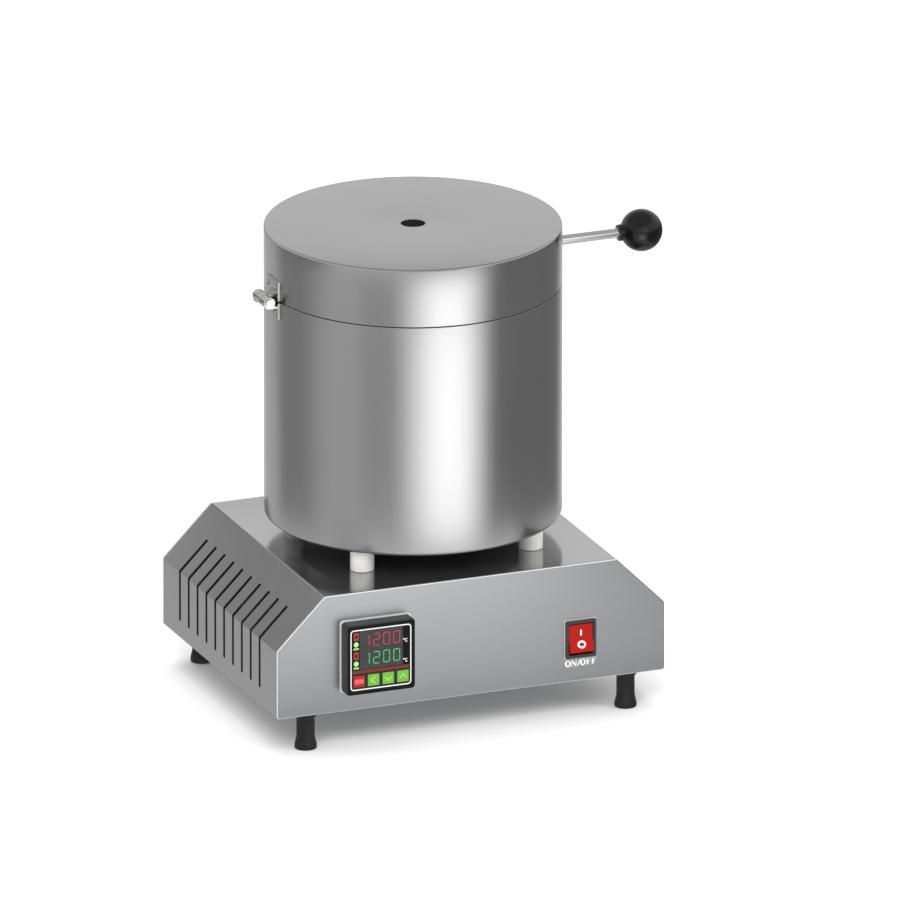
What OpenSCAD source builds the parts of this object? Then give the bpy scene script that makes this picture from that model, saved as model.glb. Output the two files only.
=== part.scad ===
// Electric crucible furnace for melting small lots of metal.
// A folded sheet housing carries an insulated drum on ceramic standoffs. The drum holds a wound
// heating tube and a crucible. The lid swings up on a hinge and is lifted by a lever with a ball knob.
// The origin lies on the bench, midway between the four feet and below the drum's axis.
// +Z is up, the front panel faces -Y and the lever points along +X. All sizes are in millimetres.

/* [Housing] */
// Width of the housing across its front
base_w = 271; // [262:1:300]
// Depth of the housing from front panel to rear panel
base_d = 204; // [200:1:240]
// Height of the housing without its feet
base_h = 80; // [76:1:100]
// Width and height taken off by each sloped shoulder
shoulder = 33.5; // [28:0.5:36]
// Thickness of the folded cover and of the tray
sheet = 1.2; // [0.8:0.1:1.6]
// Thickness of the front and rear panels
panel_t = 1.5; // [1:0.1:2]
// Outside radius of the folds
fold_r = 2; // [1.8:0.1:3]
// Width of the cover's flanges under the housing
cover_flange = 32; // [31.5:0.5:36]
// Depth of the lips turned in behind each panel
panel_lip = 14; // [12:0.5:16]
// Height of the tray's turned-up rim
tray_rim = 8; // [5:0.5:10]

/* [Vent slots] */
// Slots on each side of the cover
vent_count = 10; // [4:1:11]
// Distance from slot to slot
vent_pitch = 15.8; // [12:0.1:16.5]
// Width of a slot
vent_w = 3; // [2:0.1:4]
// Height of a slot's lower end above the underside of the housing
vent_low = 12.5; // [11:0.5:20]
// How far a slot runs up the shoulder, measured across
vent_run = 19.3; // [8:0.1:24]

/* [Feet] */
// Height of a foot
foot_h = 25; // [22:0.5:32]
// Radius of a foot's waist
foot_waist_r = 6; // [5.5:0.1:6.8]
// Radius of the flared lower end
foot_flare_r = 7.25; // [7:0.05:9]
// Radius of the collar under the housing
foot_collar_r = 7.5; // [7:0.1:8.5]
// Height of the collar
foot_collar_h = 2.5; // [2:0.1:4]
// Height of the straight band at the lower end
foot_band_h = 3; // [2:0.1:4]
// Height over which the flare widens
foot_flare_h = 7; // [4:0.5:9]
// Edge taken off the lower rim
foot_edge = 0.4; // [0.2:0.05:0.5]
// Distance of a foot's axis from the side of the housing
foot_in_x = 23.5; // [22:0.5:24]
// Distance of a foot's axis from the front or rear
foot_in_y = 9.25; // [9:0.25:10]
// Depth of the stud inside a foot
foot_stud_depth = 10; // [8:0.5:14]

/* [M5 fasteners] */
// Thread radius of studs, bolts and nuts
bolt_r = 2.5; // [2:0.1:2.5]
// Radius of a bolt's round head
bolt_head_r = 4.5; // [4.2:0.1:5]
// Height of a bolt's head
bolt_head_h = 3.5; // [3:0.1:4]
// Corner radius of a hexagon nut
nut_r = 4.6; // [4.4:0.1:5]
// Height of a hexagon nut
nut_h = 4; // [3:0.1:4.5]
// Thread length standing out of a nut
thread_over = 1.2; // [0.5:0.1:2]

/* [Tray screws] */
// Distance of each screw from the middle
tray_screw_x = 60; // [40:1:80]
// Thread radius of a screw
tray_screw_r = 2; // [1.5:0.1:2.3]
// Radius of its head
tray_screw_head_r = 3.5; // [3:0.1:4.5]
// Height of its head
tray_screw_head_h = 1.8; // [1.5:0.1:3]

/* [Standoffs] */
// Distance from standoff to standoff, across and in depth
standoff_pitch = 118; // [108:1:119]
// Height of a ceramic standoff
standoff_h = 15; // [10:0.5:25]
// Radius of a ceramic standoff
standoff_r = 8; // [6.5:0.1:9]

/* [Drum] */
// Outside radius of the drum and the lid
drum_r = 97.25; // [94:0.25:98]
// Height of the drum from its underside to the seam
drum_h = 157; // [150:1:190]
// Sheet thickness of the drum's shell
shell_t = 1.2; // [0.8:0.1:1.6]
// Radius of the drum's lower edge
drum_edge_r = 3; // [2:0.1:4]
// Width of the drum's inner flange past the standoffs
drum_flange = 3; // [2:0.1:6]
// Thickness of the floor plate
floor_t = 2; // [1.5:0.1:3]
// Thickness of the insulating board on the floor
floor_board_t = 26; // [20:0.5:32]
// Thickness of the steel ring that closes the top
top_ring_t = 1.5; // [1:0.1:2]

/* [Heating chamber] */
// Inside radius of the ceramic heating tube
chamber_r = 42; // [42:0.1:43]
// Wall of the ceramic heating tube
tube_t = 8; // [6:0.1:9]
// Space for the winding between tube and blanket
winding_gap = 8; // [7.6:0.1:9]
// Thickness of the ceramic collar around the mouth
collar_t = 15; // [12:0.5:20]
// Outside radius of the collar
collar_r = 69.8; // [66:0.2:74]

/* [Heating coil] */
// Turns of the winding
coil_turns = 14; // [8:1:14]
// Radius of the heating wire
coil_wire_r = 1.75; // [1.2:0.05:1.8]
// Gap between the tube and the winding
coil_gap = 0.25; // [0.2:0.05:0.4]
// Height of the lowest turn above the floor board
coil_low = 8; // [6:0.5:10]
// Distance of the highest turn below the ceramic collar
coil_high = 6.8; // [5:0.1:10]
// Radius of the rods that bring the current
coil_rod_r = 1.5; // [1.2:0.05:1.5]
// Distance of each rod from the middle plane
coil_rod_x = 6.5; // [6:0.1:6.8]

/* [Crucible] */
// Radius of the crucible at its rim
crucible_top_r = 34; // [30:0.2:34]
// Radius of the crucible at its foot
crucible_foot_r = 30; // [26:0.2:30]
// Distance of the crucible's rim below the ceramic collar
crucible_low = 7; // [4:0.5:16]
// Wall of the crucible at its rim
crucible_wall = 8; // [6:0.1:8]
// Thickness of the crucible's floor
crucible_floor = 10; // [8:0.5:14]
// Height of the stand below the crucible
stand_h = 10.8; // [8:0.2:12]
// Radius of the stand
stand_r = 30; // [26:0.5:32]

/* [Temperature probe] */
// Radius of the probe's sheath
probe_r = 3; // [2:0.1:3]
// Distance of the probe from the drum's axis
probe_at = 38; // [37.8:0.1:38.2]
// Distance of the probe's tip below the ceramic collar
probe_low = 27; // [10:1:50]
// Radius of the ferrule under the housing's top
ferrule_r = 4.5; // [4:0.1:6]
// Length of the ferrule
ferrule_h = 12; // [8:0.5:14]
// Distance of the ferrule below the housing's top
ferrule_low = 9; // [6:0.5:12]

/* [Ceramic lead bushings] */
// Outside radius of a bushing
bushing_r = 4; // [3.2:0.1:4.5]
// Length of a bushing inside the housing
bushing_in = 8; // [5:0.5:12]
// Length of bare rod below a bushing
rod_below = 6; // [4:0.5:8]

/* [Lid] */
// Height of the lid
lid_h = 39; // [34:0.5:50]
// Open seam between drum and lid
seam_gap = 0.6; // [0.4:0.1:0.9]
// Radius of the lid's upper edge
lid_edge_r = 1.5; // [1.3:0.1:3]
// Radius of the hole in the middle of the lid
feed_r = 8; // [6:0.25:10]
// Wall of the graphite sleeve in that hole
sleeve_t = 3; // [2:0.1:4]
// Inside radius of the steel ring under the lid
liner_in = 60; // [50:0.5:75]
// Thickness of that ring
liner_t = 1.2; // [0.8:0.1:2]
// How far that ring sits above the lid's lower edge
liner_up = 0.3; // [0.2:0.05:0.35]

/* [Lever] */
// Distance of the lever's axis below the lid's top
lever_down = 24.6; // [16:0.2:26]
// Radius of the bright rod
lever_r = 3.25; // [3.1:0.05:4]
// Radius of the thread at the rod's inner end
lever_thread_r = 3; // [2.5:0.1:3]
// Length of that thread inside the lid
lever_thread_in = 13; // [10:0.5:16]
// Distance from the drum's axis to the centre of the knob
knob_at = 160; // [140:0.5:180]
// Radius of the ball knob
knob_r = 14; // [11:0.25:16]
// Radius of the knob's neck
knob_neck_r = 5.5; // [5:0.1:7]
// Length of the neck outside the ball
knob_neck = 2.5; // [1:0.1:5]
// Corner radius of the lever's nut
lever_nut_r = 5.8; // [5.2:0.1:6.2]
// Height of the lever's nut
lever_nut_h = 5; // [4:0.1:6]
// How far the rod ends short of the knob's centre
rod_short = 2; // [1:0.1:5]

/* [Hinge] */
// Width of the hinge along its pin
hinge_w = 21; // [18:0.5:34]
// Distance from the drum's wall to the pin's axis
hinge_out = 7; // [6.6:0.1:9]
// Thickness of the leaves
leaf_t = 1.8; // [1.4:0.1:2]
// Height of the lid's leaf
lid_leaf_h = 14; // [13:0.5:24]
// Height of the drum's leaf
drum_leaf_h = 11.5; // [11:0.5:24]
// Gap between a leaf and the curved wall
leaf_gap = 0.1; // [0.05:0.01:0.2]
// Outside radius of a knuckle
knuckle_r = 4; // [3.6:0.1:4.2]
// Gap between knuckles
knuckle_gap = 0.3; // [0.2:0.05:0.5]
// Radius of the hinge pin
hinge_pin_r = 2; // [1.5:0.1:2.2]
// Radius of the pin's heads
pin_head_r = 3; // [2.6:0.1:3.5]
// Thickness of the pin's heads
pin_head_t = 1; // [0.8:0.1:1.5]
// Angle to which the lid opens
lid_open = 100; // [90:1:110]
// Length of the heel that stops the open lid
heel_l = 2.2; // [1.5:0.1:3]
// Thickness of that heel
heel_t = 1.8; // [1.4:0.1:2.4]
// Height of the stop that the heel meets
stop_h = 2; // [1.5:0.1:3]
// Distance between the rivets of a leaf
rivet_pitch = 12; // [10:0.5:16]
// Radius of a rivet
rivet_r = 1.2; // [1.1:0.1:1.8]
// Radius of a rivet's heads
rivet_head_r = 2.2; // [2:0.1:3]
// Thickness of a rivet's heads
rivet_head_t = 1.1; // [0.8:0.1:1.4]
// Height of the rivets above or below the seam, from the leaf's free edge
rivet_edge = 4.2; // [4:0.1:6]

/* [Controller] */
// Distance of the controller's centre from the middle, to the left
meter_x = 67; // [60:0.5:72]
// Height of the controller's centre above the underside of the housing
meter_up = 37.4; // [36:0.2:42]
// Width and height of the bezel
meter_bezel = 48; // [47:0.2:50]
// How far the bezel stands out of the panel
meter_proud = 10.8; // [10:0.2:14]
// Width and height of the housing behind the panel
meter_body = 44.4; // [44:0.1:44.8]
// Length of the housing behind the panel's front
meter_depth = 70; // [50:1:90]
// Wall of the controller's housing
meter_wall = 1.6; // [1.2:0.1:2]
// Thickness of the bezel's front lip
bezel_lip = 0.8; // [0.6:0.1:1.2]
// Width and height of the opening in the bezel
bezel_open = 43; // [42.8:0.1:43.4]
// Corner radius of the bezel
bezel_r = 2.5; // [1:0.1:3]
// Edge taken off the bezel's front
bezel_edge = 1; // [0.4:0.1:1.2]
// Thickness of the face plate
face_t = 2; // [1.6:0.1:2.4]
// Width of the display window
window_w = 39.6; // [36:0.2:40]
// Height of the display window
window_h = 26.4; // [22:0.2:26.8]
// Height of the window's centre above the controller's centre
window_up = 6.4; // [5.8:0.1:6.6]
// Thickness of the display window
window_t = 1.5; // [1:0.1:1.8]
// Thickness of the gasket behind the bezel
gasket_t = 0.8; // [0.5:0.1:1]
// How far the gasket shows around the bezel
gasket_show = 0.7; // [0.3:0.1:1]
// Width of the clamp frame around the housing
clamp_w = 3; // [2:0.1:4]
// Length of the clamp frame
clamp_l = 6; // [4:0.5:10]
// Thickness of the circuit board
board_t = 1.6; // [1:0.1:2]
// Length of the rear terminal strip
terminal_l = 8; // [6:0.5:10]
// Width of one rear terminal strip
terminal_w = 10; // [8:0.5:12]
// Distance between the screws of a terminal strip
terminal_pitch = 8; // [7:0.1:8.4]
// Width of each four-digit block
digits_w = 27; // [24:0.5:30]
// Height of each four-digit block
digits_h = 10.5; // [9:0.5:11]
// Distance between the two rows of digits
digits_pitch = 12.7; // [12:0.1:13]
// How far the rows of digits sit to the right of the centre
digits_right = 1.7; // [0:0.1:4]

/* [Controller keys] */
// Width of a key
key_w = 8; // [7:0.1:8.4]
// Height of a key
key_h = 7.8; // [7:0.1:8]
// Distance from key to key
key_pitch = 10.2; // [10:0.05:10.4]
// Distance of the keys' centres below the controller's centre
key_down = 14.7; // [14.5:0.1:15]
// Gap around a key in the face plate
key_gap = 0.25; // [0.15:0.05:0.3]
// How far a key stands out of the face plate
key_proud = 0.5; // [0.4:0.05:0.7]
// Width of the rim that keeps a key in
key_rim = 0.7; // [0.5:0.05:0.75]
// Thickness of that rim
key_rim_t = 0.8; // [0.6:0.05:1]
// Gap between the rim and the face plate
key_seat = 0.3; // [0.2:0.05:0.4]
// Radius of a key's stem
key_stem_r = 1.5; // [1:0.1:2]
// Length of a key's stem
key_stem_l = 2.5; // [1.5:0.1:3]
// Travel of a key
key_travel = 0.7; // [0.4:0.05:0.8]
// Gap left between stem and key switch at the end of the travel
key_rest = 0.1; // [0.05:0.01:0.2]
// Width of a key switch on the board
tact_w = 6; // [5:0.1:6.5]
// Height of a key switch on the board
tact_h = 3.4; // [3:0.1:4]
// Radius of a key switch's plunger
tact_r = 1.6; // [1:0.1:2]
// Length of a key switch's plunger
tact_l = 1; // [0.8:0.1:1.4]

/* [Switch] */
// Distance of the switch's centre from the middle, to the right
switch_x = 76.3; // [70:0.1:90]
// Height of the switch's centre above the underside of the housing
switch_up = 29.1; // [27:0.1:36]
// Width of the frame
switch_w = 21.2; // [21:0.1:24]
// Height of the frame
switch_h = 25.7; // [25.5:0.1:28]
// How far the frame stands out of the panel
switch_proud = 2.2; // [1.8:0.1:2.6]
// Half the width of the rocker
rocker_half_w = 8.3; // [8:0.05:8.3]
// Radius of the rocker's ends about its pivot
rocker_r = 10.4; // [10:0.05:10.4]
// Gap between the rocker and its frame
rocker_gap = 0.3; // [0.2:0.05:0.3]
// Angle by which the rocker is tipped from its middle position
rocker_tilt = 10; // [6:0.5:11]
// Angle from straight out to the rocker's front edges
rocker_edge_turn = 60; // [57:0.5:62]
// Angle from straight out to the rocker's rear edges
rocker_rear_turn = 110; // [100:1:112]
// Distance of the pivot behind the frame's front
pivot_in = 4; // [3.8:0.1:4.4]
// Radius of the rocker's pivot stubs
pivot_r = 1.5; // [1.2:0.05:1.5]
// Wall of the switch body
switch_wall = 0.9; // [0.8:0.05:1]
// Length of the switch body behind the panel's front
switch_depth = 16; // [15:0.5:24]
// Thickness of the switch body's rear wall
switch_rear_t = 2.5; // [2:0.1:4]
// Width of a connecting blade
blade_w = 4.8; // [4:0.1:6.3]
// Thickness of a connecting blade
blade_t = 0.8; // [0.5:0.1:1]
// Length of a connecting blade
blade_l = 8; // [6:0.5:10]
// Distance from blade to blade
blade_pitch = 7; // [5:0.1:7.5]

/* [Relay and terminals] */
// Distance of the heatsink's centre from the right side
sink_in = 73.5; // [70:0.5:80]
// Distance of the heatsink's centre behind the middle
sink_y = 15; // [5:0.5:25]
// Width of the heatsink
sink_w = 76; // [70:0.5:80]
// Length of the heatsink
sink_l = 84; // [76:0.5:90]
// Thickness of the heatsink's base
sink_t = 4; // [3:0.1:6]
// Height of the heatsink's fins
fin_h = 24; // [16:0.5:30]
// Thickness of a fin
fin_t = 1.6; // [1.2:0.1:2]
// Distance from fin to fin
fin_pitch = 5; // [4:0.1:5.2]
// Fins on each side
fin_count = 3; // [2:1:3]
// Width of the relay
relay_w = 45; // [40:0.5:45]
// Length of the relay
relay_l = 58; // [50:0.5:62]
// Height of the relay
relay_h = 22; // [18:0.5:26]
// Length of the steps that hold the relay's terminals
relay_step_l = 12; // [10:0.5:14]
// Height of these steps
relay_step_h = 8; // [6:0.5:10]
// Radius of the relay's terminal screws
relay_screw_r = 3.4; // [2.5:0.1:4]
// Height of the relay's terminal screws
relay_screw_h = 2.6; // [2:0.1:4]
// Distance between the relay's terminal screws
relay_screw_pitch = 26; // [20:0.5:30]
// Distance of the terminal block from the housing's left side
block_in = 73.5; // [70:0.5:95]
// Distance of the terminal block's centre behind the middle
block_y = 62; // [50:1:68]
// Length of the terminal block
block_l = 60; // [50:1:64]
// Depth of the terminal block
block_w = 24; // [20:0.5:28]
// Height of the terminal block
block_h = 18; // [14:0.5:22]
// Terminals on the block
block_poles = 4; // [3:1:4]
// Radius of the block's screw wells
block_well_r = 3; // [2:0.1:4]
// Depth of the block's screw wells
block_well_h = 5; // [4:0.5:8]
// Height of a screw in its well
block_screw_h = 2.5; // [1.5:0.1:3.5]

/* [Cable gland] */
// Distance of the cable gland's axis from the housing's left side
gland_side = 40.5; // [35.5:0.5:50.5]
// Height of the gland above the underside of the housing
gland_up = 30; // [26:0.5:36]
// Radius of the gland's thread
gland_r = 8; // [7:0.1:9]
// Radius of the gland's inner passage
gland_bore_r = 5.2; // [4.8:0.1:5.4]
// Radius of the hole for the mains lead
lead_hole_r = 4.25; // [3:0.05:4.5]
// Corner radius of the gland's hexagons
gland_hex_r = 12.4; // [12:0.1:14]
// Thickness of the gland's flange
gland_flange_t = 5; // [4:0.1:6]
// Length of thread inside the housing
gland_in = 10; // [8:0.5:12]
// Length of thread outside the flange
gland_thread_l = 8; // [6:0.5:10]
// Thickness of the gland's locknut
gland_nut_t = 5; // [4:0.1:6]
// Length of the gland's cap
gland_cap_l = 13; // [12:0.5:18]
// Wall at the cap's end
gland_end_t = 3; // [2:0.1:4]
// Radius at the cap's rounded end
gland_end_r = 8; // [7:0.1:9]
// Length of the rubber seal inside the cap
gland_seal_l = 9; // [6:0.5:9]

/* [Wiring] */
// Radius of an insulated lead
lead_r = 1.2; // [0.8:0.1:1.2]
// Height above the bench of the leads that run low
lead_low = 62; // [60:1:66]
// Height above the bench of the leads that run across
lead_mid = 70; // [68:1:72]
// Height above the bench of the leads that run high
lead_high = 77; // [76:1:80]
// Straight length of a lead before its first bend
lead_bend = 11; // [8:1:14]
// Distance of the rearmost lead behind the middle
lead_back_y = 74; // [72:1:78]

/* [Fits] */
// Gap between fixed pieces that fit into each other
fit = 0.2; // [0.15:0.05:0.3]
// Radial running clearance of pins
run_fit = 0.05; // [0.02:0.01:0.09]

/* [Hidden] */

$fn = 96;

// Overrun of every cut past the face it opens
cut = 3;
// Steps in the arc of a fold or rounded corner
arc_steps = 6;
// Offset of a 45 degree fold's corner per unit of wall
fold_k = tan(22.5);

// Heights above the bench
base_z = foot_h;
tray_top = base_z + 2 * sheet;
top_z = base_z + base_h;
drum_z = top_z + standoff_h;
drum_floor_z = drum_z + shell_t;
board_z = drum_floor_z + floor_t;
chamber_z = board_z + floor_board_t;
seam_z = drum_z + drum_h;
collar_z = seam_z - collar_t;
lid_z = seam_z + seam_gap;
lid_top = lid_z + lid_h;
lever_z = lid_top - lever_down;
hinge_z = seam_z + seam_gap / 2;
hinge_x = -drum_r - hinge_out;

// Places of the feet and standoffs
foot_x = base_w / 2 - foot_in_x;
foot_y = base_d / 2 - foot_in_y;
standoff_at = standoff_pitch / 2;
standoff_ring = standoff_at * sqrt(2);
tray_screw_y = base_d / 2 - panel_t - panel_lip / 2;

// Radii inside the drum and the lid
inner_r = drum_r - shell_t;
fill_r = inner_r - fit;
tube_r = chamber_r + tube_t;
blanket_in = tube_r + winding_gap;
coil_r = tube_r + coil_gap + coil_wire_r;
coil_z = chamber_z + coil_low;
coil_h = collar_z - coil_high - coil_z;
coil_pitch = coil_h / coil_turns;
coil_d = 2 * coil_wire_r;
coil_rod_at = coil_r + coil_wire_r + coil_rod_r + 2 * fit;
coil_rod_y = sqrt(coil_rod_at * coil_rod_at - coil_rod_x * coil_rod_x);
coil_rod_end = top_z - sheet - bushing_in - rod_below;
ferrule_z = top_z - ferrule_low - ferrule_h;
crucible_z = chamber_z + stand_h;
crucible_h = collar_z - crucible_low - crucible_z;

// Rings and sides of the wound wire, and of the leads
coil_rings = 24;
coil_sides = 6;
lead_sides = 8;

// Controller depths, measured from the panel's front, positive inwards
face_y = -meter_proud + bezel_lip;
key_back_y = face_y + face_t + key_seat;
key_stem_y = key_back_y + key_rim_t;
tact_y = key_stem_y + key_stem_l + key_travel + key_rest;
board_y = tact_y + tact_l + tact_h;
key_xs = [-1.5, -0.5, 0.5, 1.5] * key_pitch;

// Switch pivot and openings
pivot_y = pivot_in - switch_proud;
rocker_front = rocker_r * cos(rocker_edge_turn) - rocker_r * sin(rocker_edge_turn) * tan(rocker_tilt);
switch_in_w = 2 * (rocker_half_w + rocker_gap);
switch_in_h = 2 * (rocker_r + rocker_gap);

// Hinge knuckles
knuckle_l = (hinge_w - 2 * knuckle_gap) / 3;
rivet_turn = asin(rivet_pitch / 2 / drum_r);

// Terminals that the leads join
sink_x = base_w / 2 - sink_in;
block_x = base_w / 2 - block_in;
gland_x = base_w / 2 - gland_side;
relay_top = tray_top + sink_t + relay_step_h + relay_screw_h;
relay_left = sink_x - relay_screw_pitch / 2;
relay_right = sink_x + relay_screw_pitch / 2;
relay_front = sink_y - (relay_l - relay_step_l) / 2;
relay_rear = sink_y + (relay_l - relay_step_l) / 2;
block_top = tray_top + block_h;
block_screw_top = block_top - block_well_h + block_screw_h;
block_xs = [for (i = [0 : block_poles - 1])
    (i - (block_poles - 1) / 2) * block_l / block_poles - block_x];
blade_end = -base_d / 2 + switch_depth + blade_l;
switch_z = base_z + switch_up;
meter_z = base_z + meter_up;
meter_end = -base_d / 2 + meter_depth + terminal_l + thread_over;
meter_left = -meter_x - (meter_body - terminal_w) / 2;
meter_right = -meter_x + (meter_body - terminal_w) / 2;

function unit(v) = v / norm(v);
function turned(a, b) = (b - a + 540) % 360 - 180;
function reversed(list) = [for (i = [len(list) - 1 : -1 : 0]) list[i]];

// Points of an arc of radius r that replaces the corner b between a and c
function corner_arc(a, b, c, r) =
    let (u = unit(a - b),
        v = unit(c - b),
        half = acos(u * v) / 2,
        mid = b + unit(u + v) * r / sin(half),
        from = b + u * r / tan(half) - mid,
        to = b + v * r / tan(half) - mid,
        start = atan2(from[1], from[0]),
        sweep = turned(start, atan2(to[1], to[0])))
    [for (i = [0 : arc_steps])
        mid + r * [cos(start + sweep * i / arc_steps), sin(start + sweep * i / arc_steps)]];

// An outline with each corner rounded by its own radius, or left sharp at 0
function rounded(pts, radii) =
    [for (i = [0 : len(pts) - 1])
        each radii[i] > 0
            ? corner_arc(pts[(i + len(pts) - 1) % len(pts)], pts[i], pts[(i + 1) % len(pts)], radii[i])
            : [pts[i]]];

function box_points(w, h) = [[-w / 2, -h / 2], [w / 2, -h / 2], [w / 2, h / 2], [-w / 2, h / 2]];
function round_box(w, h, r) = rounded(box_points(w, h), [r, r, r, r]);

// Outline of the housing's cross-section, set in from its outer faces and starting at height low
function shell_points(inset, low) = [
    [-base_w / 2 + inset, low],
    [-base_w / 2 + inset, base_h - shoulder - inset * fold_k],
    [-base_w / 2 + shoulder + inset * fold_k, base_h - inset],
    [base_w / 2 - shoulder - inset * fold_k, base_h - inset],
    [base_w / 2 - inset, base_h - shoulder - inset * fold_k],
    [base_w / 2 - inset, low]];

// A tube swept along points, with its rings set square to the route by the given frames
function tube_points(route, frames, r, sides) =
    [for (i = [0 : len(route) - 1])
        each [for (j = [0 : sides - 1])
            route[i] + r * (cos(360 * j / sides) * frames[i][0] + sin(360 * j / sides) * frames[i][1])]];
function tube_faces(rings, sides) = concat(
    [for (j = [1 : sides - 2]) [0, j, j + 1]],
    [for (j = [1 : sides - 2])
        [(rings - 1) * sides, (rings - 1) * sides + j + 1, (rings - 1) * sides + j]],
    [for (i = [0 : rings - 2])
        each [for (j = [0 : sides - 1])
            each [
                [i * sides + j, (i + 1) * sides + j, (i + 1) * sides + (j + 1) % sides],
                [i * sides + j, (i + 1) * sides + (j + 1) % sides, i * sides + (j + 1) % sides]]]]);

// Direction of travel at each point of a route, and frames carried along it without twist
function headings(route) =
    [for (i = [0 : len(route) - 1])
        unit(route[min(i + 1, len(route) - 1)] - route[max(i - 1, 0)])];
function carry(heads, side, i = 0) =
    i == len(heads) ? [] :
    let (s = unit(side - (side * heads[i]) * heads[i]))
    concat([[s, cross(heads[i], s)]], carry(heads, s, i + 1));

// A route with each inner corner cut twice, so that a lead bends gently
function cut_corners(route) = concat(
    [route[0]],
    [for (i = [1 : len(route) - 2])
        each [route[i] + (route[i - 1] - route[i]) / 4, route[i] + (route[i + 1] - route[i]) / 4]],
    [route[len(route) - 1]]);

// The winding: a helix that starts and ends behind the tube, with a straight end on each side
function coil_at(i) = [
    coil_r * cos(90 + 360 * i / coil_rings),
    coil_r * sin(90 + 360 * i / coil_rings),
    coil_z + coil_pitch * i / coil_rings];
coil_count = coil_turns * coil_rings;
coil_route = concat(
    [[coil_d, coil_r, coil_z]],
    [for (i = [0 : coil_count]) coil_at(i)],
    [[-coil_d, coil_r, coil_z + coil_h]]);
coil_frames = [for (i = [-1 : coil_count + 1])
    let (a = 90 + 360 * min(max(i, 0), coil_count) / coil_rings)
    [[0, 0, 1], [cos(a), sin(a), 0]]];
coil_least = min([for (i = [0 : coil_rings])
    each [for (j = [i + coil_rings / 2 : min(i + 2 * coil_rings, coil_count)])
        norm(coil_at(i) - coil_at(j)) - coil_d]]);
echo(str("least gap between turns of the heating coil: ", coil_least, " mm"));

module turned_part(points) {
    rotate_extrude() polygon(points);
}

// Extrudes an outline drawn in X and Z from y towards +Y
module upright(y, t) {
    translate([0, y + t, 0])
        rotate([90, 0, 0])
            linear_extrude(t)
                children();
}

module lead(route, side) {
    smooth = cut_corners(route);
    polyhedron(
        tube_points(smooth, carry(headings(smooth), side), lead_r, lead_sides),
        tube_faces(len(smooth), lead_sides));
}

module at_feet() {
    for (x = [-foot_x, foot_x], y = [-foot_y, foot_y])
        translate([x, y, 0]) children();
}

module at_standoffs() {
    for (x = [-standoff_at, standoff_at], y = [-standoff_at, standoff_at])
        translate([x, y, 0]) children();
}

module at_tray_screws() {
    for (x = [-tray_screw_x, tray_screw_x], y = [-tray_screw_y, tray_screw_y])
        translate([x, y, base_z]) children();
}

module at_rods() {
    for (x = [-coil_rod_x, coil_rod_x])
        translate([x, coil_rod_y, 0]) children();
}

module at_probe() {
    translate([0, probe_at, 0]) children();
}

module at_meter() {
    translate([-meter_x, -base_d / 2, base_z + meter_up]) children();
}

module at_switch() {
    translate([switch_x, -base_d / 2, base_z + switch_up]) children();
}

// Places a piece at the gland, with the hole's axis along +Z of the piece
module at_gland() {
    translate([-gland_x, base_d / 2, base_z + gland_up])
        rotate([-90, 0, 0]) children();
}

// Places a rivet radially through the wall, side -1 at the front and 1 at the rear
module at_rivets(z) {
    for (side = [-1, 1])
        rotate([0, 0, side * rivet_turn])
            translate([0, 0, z])
                rotate([0, -90, 0]) children();
}

// Housing

module vent_cuts() {
    drop = cut * cos(45);
    bend = base_h - shoulder;
    outline = [
        [-base_w / 2 - cut, vent_low],
        [-base_w / 2 - cut, bend + cut * fold_k],
        [-base_w / 2 + vent_run - drop, bend + vent_run + drop],
        [-base_w / 2 + vent_run + drop, bend + vent_run - drop],
        [-base_w / 2 + cut, bend - cut * fold_k],
        [-base_w / 2 + cut, vent_low]];
    for (side = [0, 1], i = [0 : vent_count - 1])
        mirror([side, 0, 0])
            translate([0, (i - (vent_count - 1) / 2) * vent_pitch - vent_w / 2, base_z])
                upright(0, vent_w) polygon(outline);
}

module base_cover() {
    inner_fold = fold_r - sheet;
    outer = concat([[-base_w / 2 + cover_flange, 0]], shell_points(0, 0), [[base_w / 2 - cover_flange, 0]]);
    inner = concat(
        [[-base_w / 2 + cover_flange, sheet]], shell_points(sheet, sheet),
        [[base_w / 2 - cover_flange, sheet]]);
    radii = [for (i = [0 : 7]) i == 0 || i == 7 ? 0 : 1];
    color("silver") difference() {
        translate([0, 0, base_z])
            upright(-base_d / 2 + panel_t, base_d - 2 * panel_t)
                polygon(concat(
                    rounded(outer, radii * fold_r),
                    reversed(rounded(inner, radii * inner_fold))));
        vent_cuts();
        at_feet() translate([0, 0, base_z - cut]) cylinder(h = 2 * cut, r = bolt_r + fit);
        at_standoffs() translate([0, 0, top_z - cut]) cylinder(h = 2 * cut, r = bolt_r + fit);
        at_rods() translate([0, 0, top_z - cut]) cylinder(h = 2 * cut, r = bushing_r + fit);
        at_probe() translate([0, 0, top_z - cut]) cylinder(h = 2 * cut, r = probe_r + fit);
    }
}

// A panel with lips turned in behind the cover, drawn for the front
module panel_blank() {
    lip_low = 2 * sheet + tray_rim + fit;
    back = -base_d / 2 + panel_t;
    corners = [1, 1, 1, 1, 1, 1];
    translate([0, 0, base_z]) {
        upright(-base_d / 2, panel_t)
            polygon(rounded(shell_points(0, 0), corners * fold_r));
        upright(back, panel_lip)
            difference() {
                polygon(shell_points(sheet + fit, lip_low));
                polygon(shell_points(2 * sheet + fit, lip_low - cut));
            }
        translate([-base_w / 2 + cover_flange + fit, back, 0])
            cube([base_w - 2 * (cover_flange + fit), panel_lip, sheet]);
    }
}

module tray_screw_holes() {
    at_tray_screws() translate([0, 0, -cut]) cylinder(h = 3 * cut, r = tray_screw_r + fit);
}

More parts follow.
